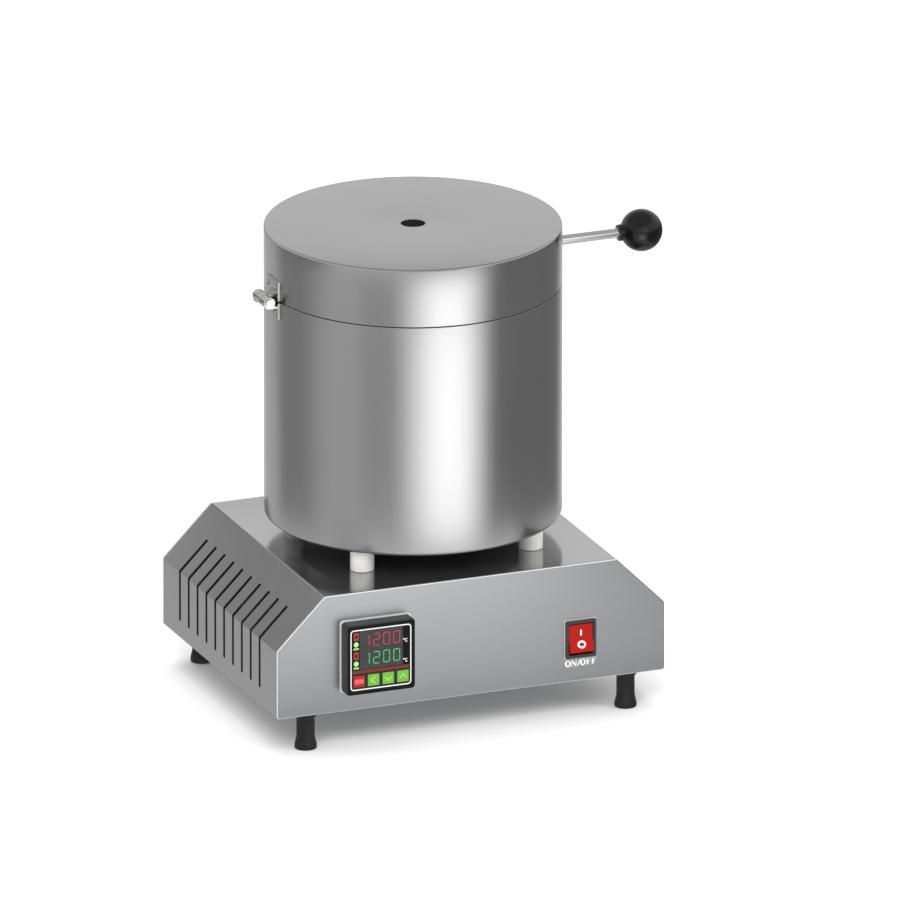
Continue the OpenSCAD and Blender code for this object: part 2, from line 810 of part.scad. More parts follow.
module front_panel() {
    color("gainsboro") difference() {
        panel_blank();
        at_meter() upright(-cut, 2 * cut)
            polygon(box_points(meter_body + 2 * fit, meter_body + 2 * fit));
        at_switch() upright(-cut, 2 * cut)
            polygon(box_points(
                switch_in_w + 2 * (switch_wall + fit), switch_in_h + 2 * (switch_wall + fit)));
        tray_screw_holes();
    }
}

module rear_panel() {
    color("silver") difference() {
        mirror([0, 1, 0]) panel_blank();
        at_gland() translate([0, 0, -cut]) cylinder(h = 2 * cut, r = gland_r + fit);
        tray_screw_holes();
    }
}

module bottom_tray() {
    w = base_w - 2 * (sheet + fit);
    d = base_d - 2 * (panel_t + fit);
    rim = sheet + tray_rim;
    outer = [[-w / 2, rim], [-w / 2, 0], [w / 2, 0], [w / 2, rim]];
    inner = [[-w / 2 + sheet, rim], [-w / 2 + sheet, sheet], [w / 2 - sheet, sheet], [w / 2 - sheet, rim]];
    bends = [0, 1, 1, 0];
    color("darkgray") difference() {
        translate([0, 0, base_z + sheet]) {
            upright(-d / 2, d)
                polygon(concat(
                    rounded(outer, bends * fold_r),
                    reversed(rounded(inner, bends * (fold_r - sheet)))));
            for (side = [-1, 1])
                translate([-w / 2 + sheet, side * (d - sheet) / 2 - sheet / 2, 0])
                    cube([w - 2 * sheet, sheet, rim]);
        }
        at_feet() translate([0, 0, base_z]) cylinder(h = 2 * cut, r = bolt_r + fit);
        tray_screw_holes();
    }
}

// A rubber foot with a collar, a straight waist and a flared lower end
module feet() {
    flare = [for (i = [0 : arc_steps])
        [foot_waist_r + (foot_flare_r - foot_waist_r) * (1 - sin(90 * i / arc_steps)),
            foot_band_h + foot_flare_h * i / arc_steps]];
    color("black") at_feet() difference() {
        turned_part(concat(
            [[0, 0], [foot_flare_r - foot_edge, 0], [foot_flare_r, foot_edge]],
            flare,
            [[foot_waist_r, foot_h - foot_collar_h], [foot_collar_r, foot_h - foot_collar_h],
                [foot_collar_r, foot_h], [0, foot_h]]));
        translate([0, 0, foot_h - foot_stud_depth]) cylinder(h = foot_stud_depth + cut, r = bolt_r + run_fit);
    }
}

module foot_studs() {
    color("lightgray") at_feet()
        translate([0, 0, foot_h - foot_stud_depth])
            cylinder(h = foot_stud_depth + 2 * sheet + nut_h + thread_over, r = bolt_r);
}

module tray_screws() {
    color("lightgray") at_tray_screws() {
        translate([0, 0, -tray_screw_head_h]) cylinder(h = tray_screw_head_h, r = tray_screw_head_r);
        cylinder(h = 2 * sheet + thread_over, r = tray_screw_r);
    }
}

module standoffs() {
    color("white") at_standoffs()
        translate([0, 0, top_z]) difference() {
            cylinder(h = standoff_h, r = standoff_r);
            translate([0, 0, -cut]) cylinder(h = standoff_h + 2 * cut, r = bolt_r + fit);
        }
}

module standoff_bolts() {
    low = top_z - sheet - nut_h - thread_over;
    color("lightgray") at_standoffs() {
        translate([0, 0, low]) cylinder(h = board_z - low, r = bolt_r);
        translate([0, 0, board_z]) cylinder(h = bolt_head_h, r = bolt_head_r);
    }
}

module hex_nut() {
    difference() {
        cylinder(h = nut_h, r = nut_r, $fn = 6);
        translate([0, 0, -cut]) cylinder(h = nut_h + 2 * cut, r = bolt_r + run_fit);
    }
}

module flange_nuts() {
    color("lightgray") {
        at_feet() translate([0, 0, tray_top]) hex_nut();
        at_standoffs() translate([0, 0, top_z - sheet - nut_h]) hex_nut();
    }
}

// Controller

module controller_bezel() {
    inner = meter_body + 2 * fit;
    small = meter_bezel - 2 * bezel_edge;
    color("dimgray") at_meter() difference() {
        union() {
            upright(-meter_proud + bezel_edge, meter_proud - bezel_edge - gasket_t)
                polygon(round_box(meter_bezel, meter_bezel, bezel_r));
            upright(-meter_proud, bezel_edge)
                polygon(round_box(small, small, bezel_r - bezel_edge / 2));
        }
        upright(-meter_proud - cut, meter_proud + 2 * cut) polygon(box_points(bezel_open, bezel_open));
        upright(face_y, meter_proud + cut) polygon(box_points(inner, inner));
    }
}

module window_area(gap) {
    translate([0, window_up]) polygon(box_points(window_w + 2 * gap, window_h + 2 * gap));
}

module key_area(i, gap) {
    translate([key_xs[i], -key_down]) polygon(box_points(key_w + 2 * gap, key_h + 2 * gap));
}

module controller_face() {
    color("black") at_meter() upright(face_y, face_t)
        difference() {
            polygon(box_points(meter_body, meter_body));
            window_area(fit);
            for (i = [0 : 3]) key_area(i, key_gap);
        }
}

module controller_gasket() {
    color("whitesmoke") at_meter() upright(-gasket_t, gasket_t)
        difference() {
            polygon(round_box(meter_bezel + 2 * gasket_show, meter_bezel + 2 * gasket_show, bezel_r));
            polygon(box_points(meter_body + 2 * fit, meter_body + 2 * fit));
        }
}

module controller_housing() {
    front = face_y + face_t;
    inner = meter_body - 2 * meter_wall;
    color("darkslategray") at_meter() difference() {
        upright(front, meter_depth - front) polygon(box_points(meter_body, meter_body));
        upright(front - cut, meter_depth - front + cut - meter_wall) polygon(box_points(inner, inner));
    }
}

module controller_clamp() {
    inner = meter_body + 2 * fit;
    color("gray") at_meter() upright(panel_t, clamp_l)
        difference() {
            polygon(box_points(inner + 2 * clamp_w, inner + 2 * clamp_w));
            polygon(box_points(inner, inner));
        }
}

module controller_board() {
    side = meter_body - 2 * (meter_wall + fit);
    color("darkgreen") at_meter() {
        upright(board_y, board_t) polygon(box_points(side, side));
        for (x = key_xs) translate([x, 0, -key_down]) {
            upright(tact_y + tact_l, tact_h) polygon(box_points(tact_w, tact_w));
            translate([0, tact_y, 0]) rotate([-90, 0, 0]) cylinder(h = tact_l, r = tact_r);
        }
    }
}

module controller_terminals() {
    reach = (meter_body - terminal_w) / 2;
    color("darkgray") at_meter() for (side = [-1, 1])
        translate([side * reach, 0, 0]) {
            upright(meter_depth, terminal_l) polygon(box_points(terminal_w, meter_body));
            for (i = [-2 : 2])
                translate([0, meter_depth + terminal_l, i * terminal_pitch])
                    rotate([-90, 0, 0]) cylinder(h = thread_over, r = tray_screw_r);
        }
}

module display_window() {
    color([0.15, 0.12, 0.12, 0.6]) at_meter() upright(face_y, window_t) window_area(0);
}

module digit_display() {
    color("darkred") at_meter() for (row = [-1, 1])
        translate([digits_right, 0, window_up + row * digits_pitch / 2])
            upright(face_y + window_t + fit, board_y - face_y - window_t - fit)
                polygon(box_points(digits_w, digits_h));
}

module key(i, tint) {
    color(tint) at_meter() {
        upright(face_y - key_proud, key_back_y - face_y + key_proud) key_area(i, 0);
        upright(key_back_y, key_rim_t) key_area(i, key_rim);
        translate([key_xs[i], key_stem_y, -key_down])
            rotate([-90, 0, 0]) cylinder(h = key_stem_l, r = key_stem_r);
    }
}

// Switch

module switch_housing() {
    inner = box_points(switch_in_w, switch_in_h);
    outer = box_points(switch_in_w + 2 * switch_wall, switch_in_h + 2 * switch_wall);
    color("black") at_switch() difference() {
        union() {
            upright(-switch_proud, switch_proud) polygon(round_box(switch_w, switch_h, switch_wall));
            upright(0, switch_depth) polygon(outer);
        }
        upright(-switch_proud - cut, switch_proud + cut + switch_depth - switch_rear_t) polygon(inner);
        translate([-switch_in_w / 2 - cut, pivot_y, 0])
            rotate([0, 90, 0]) cylinder(h = switch_in_w + 2 * cut, r = pivot_r + run_fit);
    }
}

// The rocker is drawn about its pivot and tipped in at the top, which is the switch's on position
module switch_rocker() {
    ends = [for (i = [0 : arc_steps])
        rocker_edge_turn + (rocker_rear_turn - rocker_edge_turn) * i / arc_steps];
    profile = concat(
        [[-rocker_front, 0]],
        [for (a = ends) [-rocker_r * cos(a), rocker_r * sin(a)]],
        [for (a = reversed(ends)) [-rocker_r * cos(a), -rocker_r * sin(a)]]);
    stub_l = switch_wall + rocker_gap - fit;
    color("red") at_switch()
        translate([0, pivot_y, 0]) rotate([-rocker_tilt, 0, 0]) {
            rotate([90, 0, 90]) translate([0, 0, -rocker_half_w])
                linear_extrude(2 * rocker_half_w) polygon(profile);
            translate([-rocker_half_w - stub_l, 0, 0])
                rotate([0, 90, 0]) cylinder(h = 2 * (rocker_half_w + stub_l), r = pivot_r);
        }
}

module switch_blades() {
    color("gold") at_switch() for (i = [-1 : 1])
        translate([0, 0, i * blade_pitch])
            upright(switch_depth, blade_l) polygon(box_points(blade_w, blade_t));
}

// Relay and terminals

module relay_heatsink() {
    color("silver") translate([sink_x, sink_y - sink_l / 2, tray_top]) {
        translate([-sink_w / 2, 0, 0]) cube([sink_w, sink_l, sink_t]);
        for (side = [0, 1], i = [0 : fin_count - 1])
            mirror([side, 0, 0])
                translate([-sink_w / 2 + i * fin_pitch, 0, 0]) cube([fin_t, sink_l, sink_t + fin_h]);
    }
}

module solid_state_relay() {
    color("beige") translate([sink_x, sink_y, tray_top + sink_t]) {
        translate([-relay_w / 2, -relay_l / 2 + relay_step_l, 0])
            cube([relay_w, relay_l - 2 * relay_step_l, relay_h]);
        translate([-relay_w / 2, -relay_l / 2, 0]) cube([relay_w, relay_l, relay_step_h]);
    }
}

module terminal_block() {
    color("ivory") difference() {
        translate([-block_x - block_l / 2, block_y - block_w / 2, tray_top])
            cube([block_l, block_w, block_h]);
        for (x = block_xs)
            translate([x, block_y, block_top - block_well_h])
                cylinder(h = block_well_h + cut, r = block_well_r);
    }
}

module terminal_screws() {
    color("gold") {
        for (x = [relay_left, relay_right], y = [relay_front, relay_rear])
            translate([x, y, relay_top - relay_screw_h])
                cylinder(h = relay_screw_h, r = relay_screw_r);
        for (x = block_xs)
            translate([x, block_y, block_top - block_well_h])
                cylinder(h = block_screw_h, r = block_well_r - fit);
    }
}

// Cable gland

module gland_bore(r, low, high) {
    translate([0, 0, low - cut]) cylinder(h = high - low + 2 * cut, r = r);
}

module gland_body() {
    color("black") at_gland() difference() {
        union() {
            translate([0, 0, -gland_in])
                cylinder(h = gland_in + gland_flange_t + gland_thread_l, r = gland_r);
            cylinder(h = gland_flange_t, r = gland_hex_r, $fn = 6);
        }
        gland_bore(gland_bore_r, -gland_in, gland_flange_t + gland_thread_l);
    }
}

module gland_locknut() {
    low = -panel_t - gland_nut_t;
    color("black") at_gland() difference() {
        translate([0, 0, low]) cylinder(h = gland_nut_t, r = gland_hex_r, $fn = 6);
        gland_bore(gland_r + run_fit, low, -panel_t);
    }
}

module gland_cap() {
    low = gland_flange_t + fit;
    neck = low + gland_cap_l - gland_end_t;
    color("black") at_gland() difference() {
        union() {
            translate([0, 0, low])
                cylinder(h = gland_cap_l - gland_end_t, r = gland_hex_r - 2 * fit, $fn = 6);
            translate([0, 0, neck]) cylinder(h = gland_end_t, r1 = gland_r + gland_end_t / 2, r2 = gland_end_r);
        }
        translate([0, 0, low - cut]) cylinder(h = neck - low + cut, r = gland_r + run_fit);
        gland_bore(lead_hole_r, neck, neck + gland_end_t);
    }
}

module gland_seal() {
    high = gland_flange_t + fit + gland_cap_l - gland_end_t;
    color("dimgray") at_gland() difference() {
        translate([0, 0, high - gland_seal_l]) cylinder(h = gland_seal_l, r = gland_bore_r - fit);
        gland_bore(lead_hole_r, high - gland_seal_l, high);
    }
}

// Drum

module bolt_holes(z, h, r) {
    at_standoffs() translate([0, 0, z]) cylinder(h = h, r = r);
}

module drum_shell() {
    flange_in = standoff_ring - standoff_r - drum_flange;
    inner_edge = drum_edge_r - shell_t;
    color("lightgray") difference() {
        translate([0, 0, drum_z]) turned_part(concat(
            [[flange_in, 0]],
            corner_arc([flange_in, 0], [drum_r, 0], [drum_r, drum_h], drum_edge_r),
            [[drum_r, drum_h], [inner_r, drum_h]],
            corner_arc([inner_r, drum_h], [inner_r, shell_t], [flange_in, shell_t], inner_edge),
            [[flange_in, shell_t]]));
        bolt_holes(drum_z - cut, 2 * cut, bolt_r + fit);
        at_rivets(seam_z - drum_leaf_h + rivet_edge)
            cylinder(h = drum_r + cut, r = rivet_r + run_fit);
    }
}

module drum_floor() {
    color("gray") difference() {
        translate([0, 0, drum_floor_z]) cylinder(h = floor_t, r = drum_r - drum_edge_r - fit);
        bolt_holes(drum_floor_z - cut, floor_t + 2 * cut, bolt_r + fit);
        at_rods() translate([0, 0, drum_floor_z - cut]) cylinder(h = floor_t + 2 * cut, r = bushing_r + fit);
        at_probe() translate([0, 0, drum_floor_z - cut]) cylinder(h = floor_t + 2 * cut, r = probe_r + fit);
    }
}

module drum_top_ring() {
    color("lightgray") translate([0, 0, seam_z - top_ring_t]) difference() {
        cylinder(h = top_ring_t, r = fill_r);
        translate([0, 0, -cut]) cylinder(h = top_ring_t + 2 * cut, r = collar_r + fit);
    }
}

module insulation_blanket() {
    top = seam_z - top_ring_t;
    color("snow") difference() {
        turned_part([
            [blanket_in, chamber_z], [fill_r, chamber_z], [fill_r, top],
            [collar_r + fit, top], [collar_r + fit, collar_z], [blanket_in, collar_z]]);
        at_rivets(seam_z - drum_leaf_h + rivet_edge)
            translate([0, 0, inner_r - rivet_head_t - 2 * fit]) cylinder(h = drum_r, r = rivet_head_r + fit);
    }
}

module floor_insulation() {
    color("snow") difference() {
        translate([0, 0, board_z]) cylinder(h = floor_board_t, r = fill_r);
        bolt_holes(board_z - cut, cut + bolt_head_h + fit, bolt_head_r + fit);
        at_rods() translate([0, 0, board_z - cut]) cylinder(h = floor_board_t + 2 * cut, r = bushing_r + fit);
        at_probe() translate([0, 0, board_z - cut]) cylinder(h = floor_board_t + 2 * cut, r = probe_r + fit);
    }
}

module heating_tube() {
    color("linen") translate([0, 0, chamber_z]) difference() {
        cylinder(h = collar_z - chamber_z, r = tube_r);
        translate([0, 0, -cut]) cylinder(h = collar_z - chamber_z + 2 * cut, r = chamber_r);
    }
}

module heating_coil() {
    color("darkorange") polyhedron(
        tube_points(coil_route, coil_frames, coil_wire_r, coil_sides),
        tube_faces(len(coil_route), coil_sides));
}

// A lug and a rod for each end of the winding: the right one at its lower end, the left one at its upper end
module coil_terminals() {
    lug_w = 2 * (coil_rod_x - coil_d);
    lug_y = tube_r + coil_gap + fit;
    lug_d = coil_rod_y + coil_rod_r + fit / 2 - lug_y;
    for (side = [-1, 1]) {
        z = side > 0 ? coil_z : coil_z + coil_h;
        color("gray") translate([side * coil_rod_x, 0, 0]) {
            translate([-lug_w / 2, lug_y, z - coil_d]) cube([lug_w, lug_d, 2 * coil_d]);
            translate([0, coil_rod_y, coil_rod_end]) cylinder(h = z - coil_rod_end, r = coil_rod_r);
        }
    }
}

module lead_bushings() {
    low = top_z - sheet - bushing_in;
    color("white") at_rods() translate([0, 0, low]) difference() {
        cylinder(h = chamber_z - low, r = bushing_r);
        translate([0, 0, -cut]) cylinder(h = chamber_z - low + 2 * cut, r = coil_rod_r + fit);
    }
}

module temperature_probe() {
    tip = collar_z - probe_low - probe_r;
    color("lightsteelblue") at_probe() {
        translate([0, 0, ferrule_z]) cylinder(h = ferrule_h, r = ferrule_r);
        translate([0, 0, ferrule_z]) cylinder(h = tip - ferrule_z, r = probe_r);
        translate([0, 0, tip]) sphere(r = probe_r);
    }
}

module crucible_stand() {
    color("linen") translate([0, 0, chamber_z]) cylinder(h = stand_h, r = stand_r);
}

module crucible() {
    slope = (crucible_top_r - crucible_foot_r) / crucible_h;
    floor_r = crucible_foot_r - crucible_wall + slope * crucible_floor;
    color("dimgray") translate([0, 0, crucible_z]) difference() {
        cylinder(h = crucible_h, r1 = crucible_foot_r, r2 = crucible_top_r);
        translate([0, 0, crucible_floor])
            cylinder(
                h = crucible_h - crucible_floor + cut,
                r1 = floor_r,
                r2 = crucible_top_r - crucible_wall + slope * cut);
    }
}

module chamber_collar() {
    color("linen") translate([0, 0, collar_z]) difference() {
        cylinder(h = collar_t, r = collar_r);
        translate([0, 0, -cut]) cylinder(h = collar_t + 2 * cut, r = chamber_r);
    }
}

// Lid

module lid_rivet_holes(r) {
    at_rivets(seam_z + lid_leaf_h - rivet_edge) cylinder(h = drum_r + cut, r = r);
}

module lid_shell() {
    inner_edge = lid_edge_r - shell_t;
    color("lightgray") difference() {
        translate([0, 0, lid_z]) turned_part(concat(
            [[inner_r, 0], [drum_r, 0]],
            corner_arc([drum_r, 0], [drum_r, lid_h], [feed_r, lid_h], lid_edge_r),
            [[feed_r, lid_h], [feed_r, lid_h - shell_t]],
            corner_arc([feed_r, lid_h - shell_t], [inner_r, lid_h - shell_t], [inner_r, 0], inner_edge)));
        lid_rivet_holes(rivet_r + run_fit);
        translate([0, 0, lever_z]) rotate([0, 90, 0]) cylinder(h = drum_r + cut, r = lever_thread_r + fit);
    }
}

module lid_insulation() {
    low = lid_z + liner_up;
    top = lid_top - shell_t - fit;
    hole = feed_r + sleeve_t + fit;
    pocket = 2 * (lever_nut_r + fit);
    color("snow") difference() {
        turned_part([
            [hole, low], [liner_in - fit, low], [liner_in - fit, low + liner_t],
            [fill_r, low + liner_t], [fill_r, top - lid_edge_r], [fill_r - lid_edge_r, top], [hole, top]]);
        at_rivets(seam_z + lid_leaf_h - rivet_edge)
            translate([0, 0, inner_r - rivet_head_t - 2 * fit]) cylinder(h = drum_r, r = rivet_head_r + fit);
        translate([drum_r - lever_thread_in - fit, -pocket / 2, lever_z - pocket / 2])
            cube([drum_r, pocket, pocket]);
    }
}

module lid_liner_ring() {
    color("gray") translate([0, 0, lid_z + liner_up]) difference() {
        cylinder(h = liner_t, r = fill_r);
        translate([0, 0, -cut]) cylinder(h = liner_t + 2 * cut, r = liner_in);
    }
}

module lid_sleeve() {
    low = lid_z + liner_up;
    color("dimgray") translate([0, 0, low]) difference() {
        cylinder(h = lid_top - shell_t - low, r = feed_r + sleeve_t);
        translate([0, 0, -cut]) cylinder(h = lid_top - low + cut, r = feed_r);
    }
}

module lever_rod() {
    shoulder_x = drum_r + leaf_gap;
    color("gainsboro") translate([0, 0, lever_z]) rotate([0, 90, 0]) {
        translate([0, 0, drum_r - lever_thread_in])
            cylinder(h = lever_thread_in + leaf_gap, r = lever_thread_r);
        translate([0, 0, shoulder_x]) cylinder(h = knob_at - rod_short - shoulder_x, r = lever_r);
    }
}

module lever_knob() {
    neck_x = knob_at - knob_r - knob_neck;
    color("black") translate([0, 0, lever_z]) rotate([0, 90, 0]) difference() {
        union() {
            translate([0, 0, knob_at]) sphere(r = knob_r);
            translate([0, 0, neck_x]) cylinder(h = knob_at - neck_x, r = knob_neck_r);
        }
        translate([0, 0, neck_x - cut]) cylinder(h = knob_at - rod_short - neck_x + cut, r = lever_r + run_fit);
    }
}

module lever_nut() {
    color("lightgray") translate([inner_r - 2 * fit - lever_nut_h, 0, lever_z]) rotate([0, 90, 0]) difference() {
        cylinder(h = lever_nut_h, r = lever_nut_r, $fn = 6);
        translate([0, 0, -cut]) cylinder(h = lever_nut_h + 2 * cut, r = lever_thread_r + run_fit);
    }
}

// Hinge

module hinge_knuckle(y) {
    translate([hinge_x, y - knuckle_l / 2, hinge_z])
        rotate([-90, 0, 0]) cylinder(h = knuckle_l, r = knuckle_r);
}

module hinge_bore() {
    translate([hinge_x, -hinge_w / 2 - cut, hinge_z])
        rotate([-90, 0, 0]) cylinder(h = hinge_w + 2 * cut, r = hinge_pin_r + run_fit);
}

// The curved plate of a leaf, from height low up to height high
module leaf_plate(low, high) {
    intersection() {
        translate([0, 0, low]) difference() {
            cylinder(h = high - low, r = drum_r + leaf_gap + leaf_t);
            translate([0, 0, -cut]) cylinder(h = high - low + 2 * cut, r = drum_r + leaf_gap);
        }
        translate([-drum_r - leaf_gap - leaf_t - cut, -hinge_w / 2, low])
            cube([drum_r / 2, hinge_w, high - low]);
    }
}

// The web that joins a knuckle to its leaf, above the pin for the lid and below it for the drum
module hinge_web(y, side) {
    low = side > 0 ? hinge_z + knuckle_r - leaf_t : hinge_z - knuckle_r;
    translate([hinge_x, y - knuckle_l / 2, low])
        cube([hinge_out - 2 * leaf_gap, knuckle_l, leaf_t]);
}

// The heel on the lid's knuckle, which swings down against the drum's stop when the lid is open
module hinge_heel() {
    translate([hinge_x - knuckle_r - heel_l, -knuckle_l / 2, hinge_z - heel_t / 2])
        cube([heel_l + knuckle_r - hinge_pin_r, knuckle_l, heel_t]);
}

module hinge_stop() {
    face = run_fit + heel_t / 2 * sin(lid_open) - (knuckle_r + heel_l) * cos(lid_open);
    translate([hinge_x + face, -knuckle_l / 2, hinge_z - knuckle_r - heel_l])
        cube([hinge_out - 2 * leaf_gap - face, knuckle_l, stop_h - knuckle_gap]);
}

module hinge_drum_leaf() {
    top = seam_z - knuckle_gap;
    color("lightgray") difference() {
        union() {
            leaf_plate(seam_z - drum_leaf_h, top);
            for (y = [-1, 1] * (knuckle_l + knuckle_gap)) {
                hinge_knuckle(y);
                hinge_web(y, -1);
            }
            hinge_stop();
        }
        hinge_bore();
        at_rivets(seam_z - drum_leaf_h + rivet_edge)
            cylinder(h = drum_r + hinge_out, r = rivet_r + run_fit);
    }
}

module hinge_lid_leaf() {
    low = lid_z + knuckle_gap;
    color("lightgray") difference() {
        union() {
            leaf_plate(low, seam_z + lid_leaf_h);
            hinge_knuckle(0);
            hinge_web(0, 1);
            hinge_heel();
        }
        hinge_bore();
        at_rivets(seam_z + lid_leaf_h - rivet_edge)
            cylinder(h = drum_r + hinge_out, r = rivet_r + run_fit);
    }
}

module hinge_pin() {
    half = hinge_w / 2 + run_fit;
    color("gray") translate([hinge_x, 0, hinge_z]) rotate([-90, 0, 0]) {
        translate([0, 0, -half]) cylinder(h = 2 * half, r = hinge_pin_r);
        for (z = [-half - pin_head_t, half])
            translate([0, 0, z]) cylinder(h = pin_head_t, r = pin_head_r);
    }
}

module rivet() {
    outside = drum_r + leaf_gap + leaf_t;
    inside = inner_r - fit / 2;
    translate([0, 0, inside - rivet_head_t]) cylinder(h = rivet_head_t, r = rivet_head_r);
    translate([0, 0, inside]) cylinder(h = outside - inside, r = rivet_r);
    translate([0, 0, outside]) cylinder(h = rivet_head_t, r1 = rivet_head_r, r2 = rivet_r);
}

module hinge_drum_rivets() {
    color("lightgray") at_rivets(seam_z - drum_leaf_h + rivet_edge) rivet();
}

module hinge_lid_rivets() {
    color("lightgray") at_rivets(seam_z + lid_leaf_h - rivet_edge) rivet();
}

// Wiring inside the housing. Each route runs square from one terminal's face to another's.

module internal_wiring() {
    bx = block_xs;
    by = block_y;
    color("firebrick") {
        lead([
            [coil_rod_x, coil_rod_y, coil_rod_end], [coil_rod_x, coil_rod_y, lead_high],
            [relay_left, relay_rear, lead_low], [relay_left, relay_rear, relay_top]], [1, 0, 0]);
        lead([
            [-coil_rod_x, coil_rod_y, coil_rod_end], [-coil_rod_x, coil_rod_y, lead_high],
            [bx[3], by, lead_low], [bx[3], by, block_screw_top]], [1, 0, 0]);
        lead([
            [relay_right, relay_rear, relay_top], [relay_right, relay_rear, lead_low],
            [relay_left, lead_back_y, lead_mid], [bx[3], lead_back_y, lead_mid],
            [bx[2], by, lead_low], [bx[2], by, block_screw_top]], [1, 0, 0]);
    }
    color("dimgray") {
        lead([
            [meter_right, meter_end, meter_z], [meter_right, meter_end + lead_bend, meter_z],
            [relay_left, relay_front, lead_low], [relay_left, relay_front, relay_top]], [0, 0, 1]);
        lead([
            [meter_right, meter_end, meter_z + terminal_pitch],
            [meter_right, meter_end + lead_bend / 2, meter_z + terminal_pitch],
            [relay_right, meter_end + lead_bend / 2, lead_mid],
            [relay_right, relay_front, lead_low], [relay_right, relay_front, relay_top]], [0, 0, 1]);
    }
    color("gold") lead([
        [0, probe_at, ferrule_z], [0, probe_at, ferrule_z - lead_bend],
        [meter_left, meter_end + lead_bend, meter_z], [meter_left, meter_end, meter_z]], [1, 0, 0]);
    color("sienna") {
        lead([
            [switch_x, blade_end, switch_z + blade_pitch],
            [switch_x, blade_end + lead_bend, switch_z + blade_pitch],
            [0, -standoff_at, lead_high], [-2 * lead_bend, sink_y, lead_high],
            [bx[1], by, lead_low], [bx[1], by, block_screw_top]], [0, 0, 1]);
        lead([
            [meter_left, meter_end, meter_z - terminal_pitch],
            [meter_left, meter_end + lead_bend, meter_z - terminal_pitch],
            [bx[0], by, lead_low], [bx[0], by, block_screw_top]], [0, 0, 1]);
    }
}

base_cover();
front_panel();
rear_panel();
bottom_tray();
feet();
foot_studs();
tray_screws();
standoffs();
standoff_bolts();
flange_nuts();
controller_bezel();
controller_face();
controller_gasket();
controller_housing();
controller_clamp();
controller_board();
controller_terminals();
display_window();
digit_display();
key(0, "red");  // set_key
key(1, "yellowgreen");  // shift_key
key(2, "yellowgreen");  // down_key
key(3, "yellowgreen");  // up_key
switch_housing();
switch_rocker();
switch_blades();
relay_heatsink();
solid_state_relay();
terminal_block();
terminal_screws();
internal_wiring();
gland_body();
gland_locknut();
gland_cap();
gland_seal();
drum_shell();
drum_floor();
drum_top_ring();
insulation_blanket();
floor_insulation();
heating_tube();
heating_coil();
coil_terminals();
lead_bushings();
temperature_probe();
crucible_stand();
crucible();
chamber_collar();
lid_shell();
lid_insulation();
lid_liner_ring();
lid_sleeve();
lever_rod();
lever_knob();
lever_nut();
hinge_drum_leaf();
hinge_lid_leaf();
hinge_pin();
hinge_drum_rivets();
hinge_lid_rivets();
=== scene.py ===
"""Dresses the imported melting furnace: finishes, fine detail, studio and camera.

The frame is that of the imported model: the origin lies on the bench between the feet, -Y is the front
and +Z is up. Sizes of the furnace are in millimetres, those of the studio in metres.
"""

import logging
from contextlib import contextmanager
from dataclasses import dataclass
from enum import Enum
from math import acos, asin, atan2, cos, pi, radians, sin, sqrt, tan
from typing import Callable, Iterator, Sequence

import bmesh
import bpy
from bmesh.types import BMesh, BMFace
from bpy.types import ID, Material, Mesh, Node, NodeSocket, NodeTree, Object
from mathutils import Matrix, Vector


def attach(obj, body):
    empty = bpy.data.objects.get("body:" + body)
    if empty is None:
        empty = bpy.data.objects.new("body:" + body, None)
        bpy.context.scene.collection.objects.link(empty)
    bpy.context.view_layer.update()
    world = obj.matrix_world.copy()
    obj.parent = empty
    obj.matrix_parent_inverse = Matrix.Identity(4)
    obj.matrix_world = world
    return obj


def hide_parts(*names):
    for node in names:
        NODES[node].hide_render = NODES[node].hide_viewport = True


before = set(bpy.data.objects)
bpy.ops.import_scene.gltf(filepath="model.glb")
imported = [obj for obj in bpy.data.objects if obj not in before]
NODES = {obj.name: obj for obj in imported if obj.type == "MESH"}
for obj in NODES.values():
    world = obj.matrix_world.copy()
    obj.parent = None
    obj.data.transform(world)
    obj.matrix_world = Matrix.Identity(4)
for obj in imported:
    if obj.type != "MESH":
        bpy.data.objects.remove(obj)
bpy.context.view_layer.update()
MM = 0.001
TURN = 2 * pi
QUARTER = pi / 2
LOG = logging.getLogger("furnace")

Point = tuple[float, float]
Triple = tuple[float, float, float]
Outline = Sequence[Point]
Place = Callable[[Vector], Vector]
Picker = Callable[[Vector, Vector], bool]
Sockets = Sequence[NodeSocket]


class Body(Enum):
    """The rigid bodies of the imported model."""

    BASE = "base"
    LID = "lid"
    ROCKER = "rocker"
    SET_KEY = "set_button"
    SHIFT_KEY = "shift_button"
    DOWN_KEY = "down_button"
    UP_KEY = "up_button"


class Lay(Enum):
    """Direction of the marks that a surface treatment leaves, as a stretch of X, Y and Z."""

    ALONG_X = (0.02, 1.0, 1.0)
    ALONG_Y = (1.0, 0.02, 1.0)
    ALONG_Z = (1.0, 1.0, 0.02)
    EVEN = (1.0, 1.0, 1.0)


# Small tools


def linear(code: str) -> list[float]:
    """Turns an sRGB hex colour into linear red, green and blue, and an alpha of one."""
    parts = [int(code[i:i + 2], 16) / 255 for i in (1, 3, 5)]
    return [c / 12.92 if c <= 0.04045 else ((c + 0.055) / 1.055) ** 2.4 for c in parts] + [1.0]


def add_node(tree: NodeTree, kind: str, inputs: dict | None = None, **settings: object) -> Node:
    """Adds a node with its settings, values and links.

    Args:
        tree: Node tree that takes the node.
        kind: Blender's type name of the node.
        inputs: Input name or index to a value, or to the socket that feeds it.
        settings: Attributes to set on the node.

    Returns:
        The new node.
    """
    node = tree.nodes.new(kind)
    for key, value in settings.items():
        setattr(node, key, value)
    for key, value in (inputs or {}).items():
        if isinstance(value, NodeSocket):
            tree.links.new(value, node.inputs[key])
        else:
            node.inputs[key].default_value = value
    return node


def new_material(name: str) -> Material:
    """Returns a new material with an empty node tree."""
    made = bpy.data.materials.new(name)
    made.use_nodes = True
    made.node_tree.nodes.clear()
    return made


